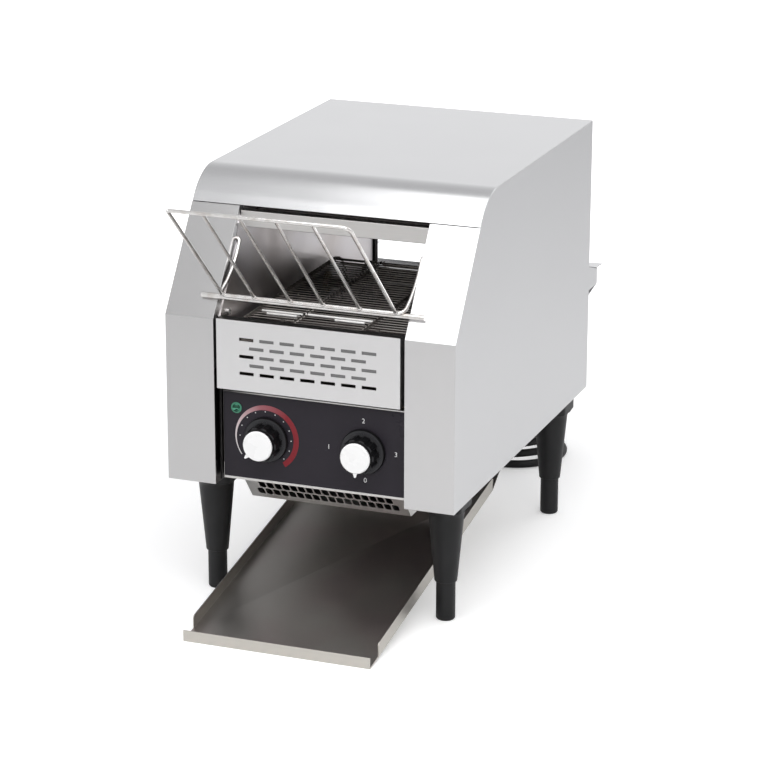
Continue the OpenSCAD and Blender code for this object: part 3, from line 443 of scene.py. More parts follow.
def brushed_steel(name, dark, light, roughness, depth=BRUSH_DEPTH, lining=None, front=None,
                  slope=None, shade=None):
    """Stainless sheet with level brushing.

    Painted shade may darken the faces inside its slots, its fronts and its slopes, and shade
    tells where it lies in the recess.
    """
    material, tree, shader = shaded(name, Metallic=1.0)
    brushing = effect(tree, "brushing", {"Lines per metre": BRUSH_LINES})
    smudges = smudged(tree, roughness)
    tone = maths(tree, "ADD", maths(tree, "MULTIPLY", brushing["Lines"], LINES_SHARE),
                 maths(tree, "MULTIPLY", brushing["Broad"], 1 - LINES_SHARE))
    colour = mix_colours(tree, spread(tree, tone, 0, 1, 0.3, 0.7), rgba(*dark), rgba(*light))
    # Painted shade: the faces inside the slots, behind the vent's face, are darker
    if lining:
        face = FRONT + VENT_FACE
        behind = rises(tree, parts(tree, shaded_point(tree))[1], face + SLOT_SHADE_FROM,
                       face + SLOT_SHADE_TO)
        colour = mix_colours(tree, behind, colour, rgba(*lining))
    # Painted shade: faces that look forwards, and the wings' slopes, are darker than the sheet
    if slope:
        colour = mix_colours(tree, looking_forwards(tree, *SLOPE_TURN), colour, rgba(*slope))
    if front:
        colour = mix_colours(tree, looking_forwards(tree, *FRONT_TURN), colour, rgba(*front))
    if shade:
        colour = mix_colours(tree, recess(tree, *shade), colour, rgba(*RECESS_GREY))
    feed(tree, shader, Base_Color=colour,
         Roughness=maths(tree, "ADD", smudges,
                         spread(tree, brushing["Lines"], -0.01, 0.01, 0.3, 0.7)),
         Normal=bump(tree, brushing["Lines"], depth))
    return material


def heated_steel(name, cold, straw, burnt, roughness, side_steel=None, belt_shade=None):
    """Sheet with heat colours.

    Where set, faces that don't look up take a plain steel colour while those that look up keep
    the darker heat colours as a painted reflection, and painted shade darkens the walls beside
    the belt and in the recess left of the control panel.
    """
    material, tree, shader = shaded(name, Metallic=1.0)
    colour = effect(tree, "heat", {"Cold": rgba(*cold), "Straw": rgba(*straw),
                                   "Burnt": rgba(*burnt)})["Color"]
    # Painted reflection: faces that look up keep darker heat colours for the dark underside they
    # mirror; the others take a plain steel colour
    if side_steel:
        upwards = spread(tree, facing(tree)[2], 0, 1, *LOOKS_UP)
        colour = mix_colours(tree, upwards, rgba(*side_steel), colour)
    # Painted shade beside and below the belt, and in the recess left of the control panel
    if belt_shade:
        _, y, z = parts(tree, shaded_point(tree))
        along = maths(tree, "MULTIPLY", rises(tree, y, *(FRONT + at for at in BELT_SHADE_START)),
                      falls(tree, y, *(FRONT + at for at in BELT_SHADE_END)))
        under = maths(tree, "MULTIPLY", falls(tree, z, *BELT_SHADE_TOP), along)
        colour = mix_colours(tree, under, colour, rgba(*belt_shade))
        colour = mix_colours(tree, recess(tree, *WALL_SHADE), colour, rgba(*RECESS_GREY))
    brushing = effect(tree, "brushing", {"Lines per metre": HEATED_LINES})
    feed(tree, shader, Base_Color=colour, Roughness=smudged(tree, roughness),
         Normal=bump(tree, brushing["Lines"], BRUSH_DEPTH))
    return material


def moulded_plastic(name, dark, light, roughness, grains=900.0, depth=0.02, worn_and_highlit=None,
                    sheen=0.5, face=None):
    """Moulded-grain plastic; where set, wear and painted highlight pale its edges, painted sheen
    its fronts.
    """
    material, tree, shader = shaded(name, Specular_IOR_Level=sheen)
    grain = effect(tree, "grain", {"Grains per metre": grains})
    colour = mix_colours(tree, spread(tree, grain["Tone"], 0, 1, 0.3, 0.7), rgba(*dark),
                         rgba(*light))
    # Painted sheen: faces that look to the front are paler
    if face:
        colour = mix_colours(tree, looking_forwards(tree, *PLASTIC_TURN), colour, rgba(*face))
    # Wear and painted highlight: convex edges paler
    if worn_and_highlit:
        colour = mix_colours(tree, effect(tree, "wear_and_highlight")["Mask"], colour, rgba(*worn_and_highlit))
    feed(tree, shader, Base_Color=colour, Normal=bump(tree, grain["Height"], depth),
         Roughness=smudged(tree, roughness, **{"Patches per metre": 35.0}))
    return material


def wire_metal(name, plain, stained, roughness):
    """Plated or drawn wire, with faint stains along it."""
    material, tree, shader = shaded(name, Metallic=1.0)
    stains = spread(tree, noise(tree, shaded_point(tree), 120.0, 4.0), 0, 1, 0.42, 0.7)
    feed(tree, shader, Base_Color=mix_colours(tree, stains, rgba(*plain), rgba(*stained)),
         Roughness=smudged(tree, roughness, **{"Patches per metre": 90.0}))
    return material


def belt_finish():
    """Burnt wire, paler at its bends; painted light pales its rear, painted shade blackens its
    lower run.
    """
    material, tree, shader = shaded("dark_belt_wire", Metallic=1.0)
    where = shaded_point(tree)
    x, y, z = parts(tree, where)
    # Painted light: the wire turns paler towards the rear outlet
    inwards = rises(tree, y, *(FRONT + depth for depth in REAR_LIGHT_DEPTHS))
    burnt = mix_colours(tree, inwards, rgba(0.2, 0.186, 0.175), rgba(0.4, 0.375, 0.35))
    aside = maths(tree, "ABSOLUTE", maths(tree, "SUBTRACT", maths(tree, "ABSOLUTE", x),
                                          (BEND_OUTER + BEND_INNER) / 2 * MM))
    bends = within(tree, aside, (BEND_OUTER - BEND_INNER) / 2, BEND_REACH)
    colour = mix_colours(tree, bends, burnt, rgba(0.26, 0.24, 0.225))
    stains = spread(tree, noise(tree, where, 60.0, 2.0), 0, 0.35, 0.42, 0.7)
    colour = mix_colours(tree, stains, colour, rgba(0.1, 0.09, 0.082))
    # Painted shade: the lower run is black
    colour = mix_colours(tree, falls(tree, z, *LOWER_RUN_SHADE), colour, rgba(0.006, 0.005, 0.005))
    feed(tree, shader, Base_Color=colour,
         Roughness=smudged(tree, (0.3, 0.45), **{"Patches per metre": 90.0}))
    return material


def black_panel_finish():
    """Satin printed plate: almost black, with a fine orange peel and faint finger marks."""
    material, tree, shader = shaded("black_panel", IOR=1.5, Specular_IOR_Level=0.17)
    grain = effect(tree, "grain", {"Grains per metre": 420.0})
    feed(tree, shader,
         Base_Color=mix_colours(tree, grain["Tone"], rgba(0.022, 0.019, 0.025),
                                rgba(0.028, 0.024, 0.031)),
         Roughness=smudged(tree, (0.26, 0.36)), Normal=bump(tree, grain["Height"], 0.006))
    return material


def waves(tree, direction, scale, **settings):
    """Soft parallel bands across a direction."""
    return node(tree, "TexWave", {"Vector": shaded_point(tree), "Scale": scale, **settings},
                bands_direction=direction).outputs[0]


def quartz_finish():
    """Smoky tube with the coiled element showing as close bands."""
    material, tree, shader = shaded("quartz", IOR=1.46, Roughness=0.25)
    bands = waves(tree, "X", 70.0, Distortion=0.4)
    feed(tree, shader, Normal=bump(tree, bands, 0.02),
         Base_Color=mix_colours(tree, spread(tree, bands, 0, 0.6, 0.5, 0.95),
                                rgba(0.075, 0.06, 0.056), rgba(0.03, 0.022, 0.02)))
    return material


def lens_finish():
    """Green lens: dark glass with a paler band across it where the glow lamp stands."""
    material, tree, shader = shaded("green_lens", IOR=1.49, Specular_IOR_Level=0.3)
    bands = waves(tree, "Z", 62.0, Distortion=1.6, **{"Detail Scale": 2.0})
    feed(tree, shader, Normal=bump(tree, bands, 0.05), Roughness=smudged(tree, (0.12, 0.2)),
         Base_Color=mix_colours(tree, spread(tree, bands, 0, 1, 0.55, 0.9),
                                rgba(0.01, 0.075, 0.042), rgba(0.1, 0.4, 0.26)))
    return material


def print_finish(name, colour):
    """Screen-printed ink: flat, with the fine uneven tone of a thin coat."""
    material, tree, shader = shaded(name)
    coat = spread(tree, noise(tree, shaded_point(tree), 600.0, 2.0), 0.9, 1.0, 0.35, 0.5)
    feed(tree, shader, Roughness=spread(tree, coat, 0.5, 0.35, 0.9, 1.0),
         Base_Color=mix_colours(tree, coat, rgba(0.02, 0.02, 0.024), rgba(*colour)))
    return material


def scale_print_finish():
    """Ink of the browning scale, white at its thin end and red at its thick end."""
    material, tree, shader = shaded("scale_print", Specular_IOR_Level=0.2)
    around = node(tree, "Attribute", attribute_name="around").outputs["Fac"]
    stops = ((0.0, (0.8, 0.79, 0.79)), (0.2, (0.66, 0.56, 0.57)), (0.42, (0.36, 0.13, 0.15)),
             (0.62, (0.24, 0.028, 0.036)), (1.0, (0.22, 0.016, 0.024)))
    feed(tree, shader, Base_Color=colour_ramp(tree, around, stops),
         Roughness=smudged(tree, (0.35, 0.45)))
    return material


# The casing's fronts, and the left wing's fronts and slopes, are darker as painted shade
CASING = {"dark": (0.65, 0.652, 0.66), "light": (0.67, 0.672, 0.68),
          "roughness": (0.22, 0.25), "shade": WALL_SHADE}
STEEL = {
    "brushed_casing": {**CASING, "front": (0.59, 0.585, 0.585)},
    "shaded_casing_left": {**CASING, "front": (0.55, 0.545, 0.545), "slope": (0.51, 0.507, 0.507)},
    "vent_sheet": {"dark": (0.68, 0.675, 0.675), "light": (0.69, 0.685, 0.685),
                   "roughness": (0.28, 0.3), "depth": BRUSH_DEPTH / 2,
                   "lining": (0.2, 0.2, 0.2)},
    "plain_sheet": {"dark": (0.58, 0.565, 0.55), "light": (0.63, 0.62, 0.605),
                    "roughness": (0.3, 0.4), "shade": SHEET_SHADE},
    "machined_steel": {"dark": (0.5, 0.5, 0.5), "light": (0.6, 0.6, 0.59),
                       "roughness": (0.22, 0.34)}}
HEATED = {
    # The inner walls' near-black belt shade is painted shade beside and below the belt
    "heat_tinted_sheet": {"cold": (0.76, 0.73, 0.74), "straw": (0.73, 0.68, 0.665),
                          "burnt": (0.5, 0.46, 0.45), "roughness": (0.3, 0.42),
                          "belt_shade": (0.02, 0.018, 0.017)},
    # Near-black heat colours for the deck plate and rear baffle: painted shade inside the machine
    "burnt_sheet": {"cold": (0.06, 0.055, 0.05), "straw": (0.08, 0.06, 0.045),
                    "burnt": (0.03, 0.026, 0.024), "roughness": (0.5, 0.65)},
    # The tray's darker floor is a painted reflection of the machine's dark underside
    "dark_tray_steel": {"cold": (0.38, 0.362, 0.345), "straw": (0.37, 0.33, 0.32),
                        "burnt": (0.33, 0.29, 0.29), "roughness": (0.32, 0.42),
                        "side_steel": (0.6, 0.575, 0.53)}}
# Plain colour, stained colour and roughness of each
WIRE = {
    "rack_wire": ((0.76, 0.745, 0.73), (0.6, 0.56, 0.53), (0.14, 0.24)),
    # Near-white finish of the painted highlight tubes on the belt
    "highlight_white": ((0.98, 0.97, 0.96), (0.9, 0.88, 0.86), (0.6, 0.75)),
    "oiled_steel": ((0.1, 0.092, 0.086), (0.05, 0.044, 0.038), (0.3, 0.45)),
    "oiled_chain": ((0.16, 0.15, 0.14), (0.06, 0.05, 0.04), (0.25, 0.4)),
    "plug_pin_metal": ((0.72, 0.68, 0.6), (0.6, 0.54, 0.45), (0.16, 0.26)),
    "bronze": ((0.2, 0.15, 0.1), (0.12, 0.09, 0.06), (0.3, 0.45))}
PLASTIC = {
    "motor_casting": {"dark": (0.42, 0.43, 0.44), "light": (0.5, 0.51, 0.52),
                      "roughness": (0.42, 0.55), "grains": 700.0, "depth": 0.05},
    "ceramic": {"dark": (0.72, 0.69, 0.61), "light": (0.8, 0.77, 0.7),
                "roughness": (0.6, 0.8)},
    "fan_plastic": {"dark": (0.018, 0.018, 0.019), "light": (0.026, 0.026, 0.028),
                    "roughness": (0.4, 0.52)},
    "white_plastic": {"dark": (0.92, 0.92, 0.915), "light": (0.94, 0.94, 0.935),
                      "roughness": (0.24, 0.32), "grains": 1500.0, "depth": 0.003},
    "blue_plastic": {"dark": (0.03, 0.09, 0.3), "light": (0.04, 0.11, 0.34),
                     "roughness": (0.3, 0.4)},
    "cream_plastic": {"dark": (0.62, 0.54, 0.38), "light": (0.68, 0.6, 0.44),
                      "roughness": (0.4, 0.5)},
    "lamp_bezel": {"dark": (0.06, 0.24, 0.15), "light": (0.08, 0.29, 0.19),
                   "roughness": (0.2, 0.3), "grains": 1500.0, "depth": 0.004, "sheen": 0.3},
    # Its paler forward faces are painted sheen, its paler edges wear and painted highlight
    "knob_black": {"dark": (0.004, 0.004, 0.0045), "light": (0.007, 0.007, 0.008),
                   "roughness": (0.3, 0.4), "grains": 1200.0, "depth": 0.01, "sheen": 0.2,
                   "worn_and_highlit": (0.02, 0.02, 0.021), "face": (0.04, 0.04, 0.043)},
    # Its paler edges are wear and painted highlight
    "leg_plastic": {"dark": (0.009, 0.009, 0.0095), "light": (0.014, 0.014, 0.015),
                    "roughness": (0.36, 0.46), "sheen": 0.3, "worn_and_highlit": (0.035, 0.035, 0.036)},
    "cord_rubber": {"dark": (0.007, 0.007, 0.0075), "light": (0.012, 0.012, 0.013),
                    "roughness": (0.42, 0.54), "grains": 1100.0, "depth": 0.015,
                    "sheen": 0.3}}
FINISHES = {"dark_belt_wire": belt_finish(), "black_panel": black_panel_finish(),
            "quartz": quartz_finish(), "green_lens": lens_finish()}
for recipe, table in ((brushed_steel, STEEL), (heated_steel, HEATED), (moulded_plastic, PLASTIC)):
    FINISHES.update({name: recipe(name, **settings) for name, settings in table.items()})
FINISHES.update({name: wire_metal(name, *values) for name, values in WIRE.items()})
WHITE_PRINT = print_finish("white_print", (0.8, 0.8, 0.8))
SCALE_PRINT = scale_print_finish()

# ---------------------------------------------------------------- the mains lead

CORD_D = 8.5
# Width, depth and height of the points that the lead's middle passes: where it leaves the
# gland, down to the floor and round to the coil, and from the coil to the plug
GLAND_OUT = (-119, 450, 150)
CORD_ROUTE = (
    (-119, 458, 149.2), (-119, 468, 146), (-119, 478, 139), (-119, 486, 129), (-119, 491, 117),
    (-119, 494, 102), (-119, 496, 85), (-119, 499, 66), (-119, 504, 46), (-118.5, 511, 29),
    (-117, 521, 15), (-113, 533, 6.5), (-106, 546, 4.45), (-96, 559, 4.45), (-82, 572, 4.45),
    (-65, 583, 4.45), (-46, 589.5, 4.45), (-28, 591.8, 4.45), (-8, 592.05, 4.45),
    (10, 592.05, 4.45))
CORD_TAIL = ((18, 487, 34.1), (8, 486.6, 32.4), (-2, 485.4, 29.2), (-12, 483.2, 25.1),
             (-22, 480.4, 21.4), (-31, 478, 19), (-40, 477, 18.1))
# The coil's middle, its turns, the points of each turn, and the radius of the lowest turn
# and of the ones that lie on it
COIL_AT = (27, 538)
COIL_TURNS, COIL_STEPS = 3.5, 24
COIL_LOW_R, COIL_R = 54.05, 51.0
# The share of a turn where it starts and ends to climb to the next one, the rise that this
# takes, the angle where the turns lie loosest, and what looseness adds to the rise
CLIMB_FROM, CLIMB_TO, TURN_RISE, LOOSE_AT, LOOSE_RISE = 0.6, 0.95, 8.7, -40, 3.3
# Gap between the coil and the floor
FLOOR_GAP = 0.2


def ease(value, start, end):
    """A smooth step from 0 to 1 as the value goes from start to end."""
    t = min(max((value - start) / (end - start), 0), 1)
    return t * t * (3 - 2 * t)


def coil_points():
    """Turns that lie on each other, each one climbing to the next at the back left."""
    points = []
    for step in range(int(COIL_TURNS * COIL_STEPS) + 1):
        turns = step / COIL_STEPS
        angle = math.radians(90 - 360 * turns)
        loose = max(math.cos(angle - math.radians(LOOSE_AT)), 0)
        layer = math.floor(turns) + ease(turns % 1, CLIMB_FROM, CLIMB_TO)
        radius = COIL_LOW_R + (COIL_R - COIL_LOW_R) * ease(turns, CLIMB_FROM, CLIMB_TO)
        points.append((COIL_AT[0] + radius * math.cos(angle),
                       COIL_AT[1] + radius * math.sin(angle),
                       CORD_D / 2 + FLOOR_GAP + (TURN_RISE + LOOSE_RISE * loose ** 2) * layer))
    return points


def mains_lead():
    route = [place(*p) for p in (GLAND_OUT, *CORD_ROUTE, *coil_points(), *CORD_TAIL)]
    data = smooth_line(route)
    data.bevel_depth, data.bevel_resolution = CORD_D / 2 * MM, 5
    data.resolution_u, data.use_fill_caps = 6, True
    lead = settle(link("mains_lead", data), "frame", "cord_rubber",
                  ["cord_tube", "cord_coil", "cord_tail"])
    plug = finished_copy("plug_body", "cord_rubber", 0.8)
    pins = finished_copy("plug_pins", "plug_pin_metal", 0.3)


# ---------------------------------------------------------------- belt

# The belt's pitch, and its wires on each straight run and on each half turn
BELT_PITCH, RUN_WIRES, TURN_WIRES = 7.62, 30, 10
BELT_COUNT = 2 * (RUN_WIRES + TURN_WIRES)
BELT_R = TURN_WIRES * BELT_PITCH / math.pi
# Height of the upper run, and depth of the front shaft
BELT_Z, FRONT_SHAFT = 276, 52
SHAFT_Z = BELT_Z - BELT_R
REAR_SHAFT = FRONT_SHAFT + RUN_WIRES * BELT_PITCH
# The wire's thickness, how far a wire's two halves are apart, how far a bend steps outwards
# over the next wire, half its width at the foot, and how far its sides lean
BELT_WIRE, WIRE_GAP, BEND_RISE, BEND_HALF, BEND_LEAN = 1.4, 1.7, 1.6, 2.6, 0.8
# How far short of one pitch a bend crosses, and how far from its corners the wire curves
CROSS_SHORT, WIRE_CURVE = 0.1, 0.9
BEND_X = (-BEND_OUTER, -BEND_INNER, BEND_INNER, BEND_OUTER)
# The greatest share of a side that one corner's curve takes, and the curve's steps
CURVE_SHARE, CURVE_STEPS = 0.45, 2
# Facets of the wires that turn by less than this are smoothed
WIRE_ANGLE = 60


def belt_at(s, out):
    """Depth and height of a point on the belt's loop: s along it, and so far outwards."""
    run, half_turn = RUN_WIRES * BELT_PITCH, TURN_WIRES * BELT_PITCH
    s %= BELT_COUNT * BELT_PITCH
    if s < run:
        return FRONT_SHAFT + s, BELT_Z + out
    if s < run + half_turn:
        angle = (s - run) / half_turn * math.pi
        return (REAR_SHAFT + (BELT_R + out) * math.sin(angle),
                SHAFT_Z + (BELT_R + out) * math.cos(angle))
    if s < 2 * run + half_turn:
        return REAR_SHAFT - (s - run - half_turn), SHAFT_Z - BELT_R - out
    angle = (s - 2 * run - half_turn) / half_turn * math.pi
    return (FRONT_SHAFT - (BELT_R + out) * math.sin(angle),
            SHAFT_Z - (BELT_R + out) * math.cos(angle))


def wire_corners():
    """Corners of one wire: across, along the belt and outwards, four bends over its neighbour."""
    half = WIRE_GAP / 2
    corners = []
    for i, x in enumerate(BEND_X):
        bend = [(x + BEND_HALF, -half, 0), (x + BEND_HALF - BEND_LEAN, half, BEND_RISE),
                (x - BEND_HALF + BEND_LEAN, BELT_PITCH - CROSS_SHORT, BEND_RISE),
                (x - BEND_HALF, BELT_PITCH + half, 0)]
        if i % 2 == 0:
            bend = [(2 * x - p[0], p[1], p[2]) for p in reversed(bend)]
        corners += [Vector(p) for p in bend]
    return corners


def rounded(corners, reach):
    """The corners as short curves that start and end so far from each one."""
    points = [corners[0]]
    for before, at, after in zip(corners, corners[1:], corners[2:]):
        back, on = before - at, after - at
        start = at + back.normalized() * min(reach, CURVE_SHARE * back.length)
        end = at + on.normalized() * min(reach, CURVE_SHARE * on.length)
        for i in range(CURVE_STEPS + 1):
            t = i / CURVE_STEPS
            points.append(start * (1 - t) ** 2 + at * 2 * t * (1 - t) + end * t ** 2)
    return points + [corners[-1]]


def wire_belt():
    """Every wire of the belt as round wire, all in one piece."""
    data = bpy.data.curves.new("belt", "CURVE")
    data.dimensions = "3D"
    data.bevel_depth, data.bevel_resolution, data.use_fill_caps = BELT_WIRE / 2 * MM, 1, True
    path = rounded(wire_corners(), WIRE_CURVE)
    for k in range(BELT_COUNT):
        spline = data.splines.new("POLY")
        spline.points.add(len(path) - 1)
        for knot, p in zip(spline.points, path):
            knot.co = (*place(p.x, *belt_at(k * BELT_PITCH + p.y, p.z)), 1)
    belt = link("wire_belt", data)
    only(belt)
    bpy.ops.object.convert(target="MESH")
    bpy.ops.object.shade_smooth_by_angle(angle=math.radians(WIRE_ANGLE))
    settle(belt, "frame", "dark_belt_wire", ["conveyor_belt"])


# Painted highlight: bright tubes over the belt's wires in two rows, where they catch the front
# light: left end, right end and depth of each; their radius and the rounding of their edges
HIGHLIGHT_STRIPS = ((-80, -38, 81.6), (-36, 32.5, 83.3), (-72, -41, 74.0), (-3, 27, 75.7))
STRIP_R, STRIP_EDGE = 1.5, 0.15


def belt_highlight_strips():
    """Short bright tubes over the belt's wires, a painted highlight where they catch the front
    light.
    """
    strips = []
    for left, right, depth in HIGHLIGHT_STRIPS:
        deselect()
        bpy.ops.mesh.primitive_cylinder_add(vertices=20, radius=STRIP_R * MM,
                                            depth=(right - left) * MM)
        strip = bpy.context.object
        strip.data.transform(Matrix.Translation(place((left + right) / 2, depth, BELT_Z))
                              @ turn(90, "Y"))
        soften(strip, STRIP_EDGE, 1)
        strips.append(strip)
    settle(joined(strips, "belt_highlight_strips"), "frame", "highlight_white")


# ---------------------------------------------------------------- welds of the rack

# Middle of the bar below the guide's wires and of the one above, and the guide's own shift
BAR_AT, GUIDE_TOP = Vector((0, 6.11, 310.53)), Vector((0, -111, 419))
GUIDE_SHIFT = -1.5
# Where the wires meet the bars across
WIRE_FEET = (-86, -53.5, -17.5, 15, 51, 86)
WIRE_TOPS = (-52, -17.5, 17, 51.5)
# The beads' radii across, sideways and along the wires, and their distance from the bars
FOOT_BEAD, TOP_BEAD = (2.7, 2.1, 2.1), (2.2, 1.9, 1.9)
FOOT_SHIFT, TOP_SHIFT = 2.6, -0.7


def bead(x, at, radii):
    """A small round weld that stands along the guide's wires."""
    deselect()
    bpy.ops.mesh.primitive_uv_sphere_add(segments=14, ring_count=8, radius=MM)
    piece = bpy.context.object
    lean = (GUIDE_TOP - BAR_AT).to_track_quat("Z", "X").to_matrix().to_4x4()
    piece.data.transform(Matrix.Translation(place(x + GUIDE_SHIFT, at.y, at.z)) @ lean
                         @ Matrix.Diagonal((radii[1], radii[0], radii[2], 1)))
    return piece


def weld_beads():
    """Welds where the guide's wires meet the bar below and the bar above."""
    along = (GUIDE_TOP - BAR_AT).normalized()
    beads = [bead(x, BAR_AT + FOOT_SHIFT * along, FOOT_BEAD) for x in WIRE_FEET]
    beads += [bead(x, GUIDE_TOP + TOP_SHIFT * along, TOP_BEAD) for x in WIRE_TOPS]
    welds = joined(beads, "rack_welds")
    bpy.ops.object.shade_smooth()
    settle(welds, body_of("rack_guide"), "rack_wire")


# ---------------------------------------------------------------- printed scale

# Depth of the control panel's face, how far the ink lies before it, and its thickness
PANEL_FACE, PRINT_LIFT, PRINT_THICK = 10, 0.03, 0.05
# Width and height of the middles of the browning scale and of its ring of dots
SCALE_AT, DOTS_AT = (-46.1, 174.0), (-47.5, 173.9)
# The angles of the scale's two ends, its outer radius, the widths of its two ends, the share
# of it that has its full width, and its steps
SCALE_FROM, SCALE_TO = 216, -55
SCALE_OUTER, SCALE_THIN, SCALE_THICK = 32.3, 0.8, 5.2
SCALE_FULL, SCALE_STEPS = 0.55, 64
# The ring's radius, the dots' radius, the first one's angle, their step and their number
DOT_RING, DOT_R, DOT_FROM, DOT_STEP, DOT_COUNT = 26, 0.55, 180, 22.5, 11
# The selector's digits with their width and height
DIGITS = (("2", 51, 202.4), ("1", 16.4, 173.2), ("3", 83.2, 173.4), ("0", 52.8, 144.6))
DIGIT_SIZE = 6.6


def on_panel(middle, radius=0.0, angle=0.0):
    """A point on the ink's plane, on a circle round a middle of a width and a height."""
    return place(middle[0] + radius * math.cos(angle), PANEL_FACE - PRINT_LIFT,
                 middle[1] + radius * math.sin(angle))


def browning_scale():
    """Band round the left knob that grows from a thin white line to a broad red end."""
    points, shares = [], []
    for i in range(SCALE_STEPS + 1):
        t = i / SCALE_STEPS
        angle = math.radians(SCALE_FROM + (SCALE_TO - SCALE_FROM) * t)
        width = SCALE_THIN + (SCALE_THICK - SCALE_THIN) * ease(t, 0.0, SCALE_FULL)
        for radius in (SCALE_OUTER, SCALE_OUTER - width):
            points.append(on_panel(SCALE_AT, radius, angle))
            shares.append(t)
    faces = [(2 * i, 2 * i + 2, 2 * i + 3, 2 * i + 1) for i in range(SCALE_STEPS)]
    data = bpy.data.meshes.new("browning_scale")
    data.from_pydata(points, [], faces)
    around = data.attributes.new("around", "FLOAT", "POINT")
    around.data.foreach_set("value", shares)
    scale = link("browning_scale", data)
    apply_modifier(scale, "SOLIDIFY", thickness=PRINT_THICK * MM, offset=0)
    data.materials.append(SCALE_PRINT)
    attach(scale, "frame")


def join_prints(name, prints):
    """Joins flat prints into one thin piece of white ink on the panel."""
    printed = joined(prints, name)
    apply_modifier(printed, "SOLIDIFY", thickness=PRINT_THICK * MM, offset=0)
    printed.data.materials.clear()
    printed.data.materials.append(WHITE_PRINT)
    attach(printed, "frame")


def scale_dots():
    """One printed dot, then its copies round the knob."""
    deselect()
    bpy.ops.mesh.primitive_circle_add(vertices=16, radius=DOT_R * MM, fill_type="NGON",
                                      rotation=(math.pi / 2, 0, 0))
    first = bpy.context.object
    bpy.ops.object.transform_apply(location=True, rotation=True, scale=True)
    dots = []
    for i in range(DOT_COUNT):
        dot = link("dot", first.data.copy())
        angle = math.radians(DOT_FROM - DOT_STEP * i)
        dot.data.transform(Matrix.Translation(on_panel(DOTS_AT, DOT_RING, angle)))
        dots.append(dot)
    bpy.data.objects.remove(first)
    join_prints("scale_dots", dots)


def selector_digits():
    """The plain digits round the right knob, each made as text and turned into a mesh."""
    digits = []
    for text, *middle in DIGITS:
        data = bpy.data.curves.new("digit", "FONT")
        data.body, data.size = text, DIGIT_SIZE * MM
        data.align_x, data.align_y = "CENTER", "CENTER"
        digit = link("digit", data)
        only(digit)
        bpy.ops.object.convert(target="MESH")
        digit.data.transform(Matrix.Translation(on_panel(middle)) @ turn(90, "X"))
        digits.append(digit)
    join_prints("selector_digits", digits)


# ---------------------------------------------------------------- finished CAD pieces

# Edge rounding of every piece that keeps the shape of its node, by its finish
EDGES = {
    "brushed_casing": {"side_panel_right": 0.35, "top_cover": 0.35, "rear_panel": 0.2,
                       "rear_hood": 0.3},
    "shaded_casing_left": {"side_panel_left": 0.35},
    "vent_sheet": {"vent_panel": 0.2},
    "plain_sheet": {"control_box": 0.25, "bottom_pan": 0.2, "lintel": 0.6,
                    "tray_rails": 0.2, "motor_standoffs": 0.3},
    "burnt_sheet": {"deck_plate": 0.2, "rear_baffle": 0.2},
    "heat_tinted_sheet": {"inner_wall_left": 0.2, "inner_wall_right": 0.2,
                          "upper_reflector": 0.2},
    "dark_tray_steel": {"collection_tray": 0.3},
    "black_panel": {"control_panel": 0.2},
    "quartz": {"upper_heater_tubes": 0.3, "lower_heater_tubes": 0.3},
    "ceramic": {"heater_end_caps": 0.3},
    "oiled_steel": {"drive_shaft": 0.4, "idler_shaft": 0.4, "drive_sprockets": 0.2,
                    "idler_sprockets": 0.2, "driven_chain_wheel": 0.15,
                    "motor_chain_wheel": 0.15},
    "machined_steel": {"panel_screws": 0.2},
    "bronze": {"shaft_bushes": 0.2},
    "oiled_chain": {"drive_chain": 0.0},
    "motor_casting": {"gear_motor": 0.8},
    "fan_plastic": {"fan_frame": 0.4, "fan_rotor": 0.2},
    "white_plastic": {"terminal_block": 0.4, "colour_knob_cap": 0.2, "selector_knob_cap": 0.2},
    "blue_plastic": {"speed_regulator": 0.4},
    "cream_plastic": {"selector_switch": 0.4},
    "lamp_bezel": {"indicator_lamp": 0.3},
    "green_lens": {"indicator_lens": 0.3},
    "knob_black": {"colour_knob": 0.4, "selector_knob": 0.4},
    "rack_wire": {"rack_frame": 0.0, "rack_guide": 0.0, "rack_stop_rod": 0.5},
    "leg_plastic": {"leg_front_left": 0.6, "leg_front_right": 0.6, "leg_rear_left": 0.6,
                    "leg_rear_right": 0.6, "foot_front_left": 0.4, "foot_front_right": 0.4,
                    "foot_rear_left": 0.4, "foot_rear_right": 0.4},
    "cord_rubber": {"cord_gland": 0.5}}


def dress_nodes():
    for finish, widths in EDGES.items():
        for node_name, width in widths.items():
            finished_copy(node_name, finish, width)


# ---------------------------------------------------------------- studio

# The floor's width in metres, and its grey
FLOOR_WIDTH, FLOOR_GREY = 18, 0.8
# What metal sees of the room: greys by the share of the way from the horizon behind the
# machine, over the ceiling, to the horizon in front of it
SKY_STOPS = ((0.0, 1.0), (0.1, 1.0), (0.17, 0.76), (0.25, 0.63), (0.33, 0.59), (0.5, 0.67),
             (0.7, 0.7), (0.85, 0.84), (1.0, 1.0))
# How much bluer than grey they are, and the room's light on what isn't glossy
SKY_COOL, ROOM_LIGHT = 1.01, (0.55, 0.55, 0.56)
# The floor's own light for the eye, near the machine and beyond its shadow, the distances in
# metres where the one ends and the other starts, and its light for reflections
FLOOR_LIFT, FLOOR_WHITE, SHADOW_REACH, WHITE_REACH = 0.34, 1.0, 0.55, 1.3
FLOOR_GLOSS = 0.05


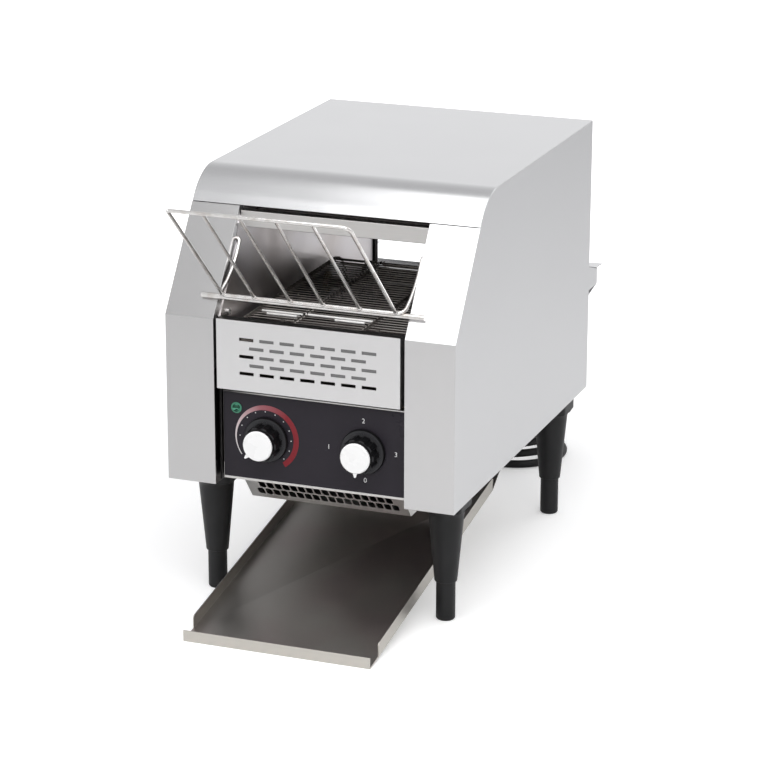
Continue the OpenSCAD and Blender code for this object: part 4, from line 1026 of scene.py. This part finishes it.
def make_floor():
    """A matt floor that fades to white for the eye away from the machine."""
    deselect()
    bpy.ops.mesh.primitive_plane_add(size=FLOOR_WIDTH)
    floor = bpy.context.object
    floor.name = "floor"
    material, tree, shader = shaded("floor", Roughness=0.9, Emission_Color=rgba(1, 1, 1),
                                    Base_Color=rgba(FLOOR_GREY, FLOOR_GREY, FLOOR_GREY))
    path = node(tree, "LightPath").outputs
    away = node(tree, "VectorMath", {0: shaded_point(tree)},
                operation="LENGTH").outputs["Value"]
    white = spread(tree, away, FLOOR_LIFT, FLOOR_WHITE, SHADOW_REACH, WHITE_REACH)
    feed(tree, shader, Emission_Strength=maths(
        tree, "ADD", maths(tree, "MULTIPLY", path["Is Camera Ray"], white),
        maths(tree, "MULTIPLY", path["Is Glossy Ray"], FLOOR_GLOSS)))
    floor.data.materials.append(material)


def make_world():
    """White to the eye; metal sees a white horizon that darkens towards the ceiling."""
    world = bpy.data.worlds.new("studio")
    bpy.context.scene.world = world
    world.use_nodes = True
    tree = world.node_tree
    way = parts(tree, node(tree, "TexCoord").outputs["Generated"])
    angle = maths(tree, "ARCTAN2", way[2], way[1])
    sky = colour_ramp(tree, maths(tree, "DIVIDE", angle, math.pi),
                      [(at, (grey, grey, grey * SKY_COOL)) for at, grey in SKY_STOPS])
    path = node(tree, "LightPath").outputs
    glossy = mix_colours(tree, path["Is Glossy Ray"], rgba(*ROOM_LIGHT), sky)
    seen = maths(tree, "MAXIMUM", path["Is Camera Ray"], path["Is Transmission Ray"])
    tree.links.new(mix_colours(tree, seen, glossy, rgba(1, 1, 1)),
                   tree.nodes["Background"].inputs[0])


# Name, place, target and size in metres, and power in watts
SOFTBOXES = (("front_softbox", (0.37, -1.1, 1.62), (0.07, -0.1, 0.25), (1.9, 1.1), 17),
             ("top_softbox", (0.32, -0.15, 1.9), (0.32, -0.1, 0.4), (1.7, 1.3), 10.5),
             ("left_softbox", (-2.2, -1.1, 1.2), (0.0, 0.0, 0.2), (1.2, 1.6), 9),
             ("rear_softbox", (1.2, 1.9, 1.9), (0.0, 0.0, 0.3), (1.6, 1.2), 9))


def softbox(name, at, target, size, power):
    """A rectangular lamp that faces its target."""
    data = bpy.data.lights.new(name, "AREA")
    data.shape, data.size, data.size_y = "RECTANGLE", *size
    data.energy = power
    lamp = link(name, data)
    aim = (Vector(target) - Vector(at)).to_track_quat("-Z", "Y")
    lamp.matrix_world = Matrix.Translation(at) @ aim.to_matrix().to_4x4()


def make_lamps():
    for lamp in SOFTBOXES:
        softbox(*lamp)


def main():
    scene = bpy.context.scene
    scene.view_settings.view_transform = "Standard"
    make_camera()
    mains_lead()
    dress_nodes()
    wire_belt()
    belt_highlight_strips()
    weld_beads()
    browning_scale()
    scale_dots()
    selector_digits()
    make_floor()
    make_world()
    make_lamps()


main()
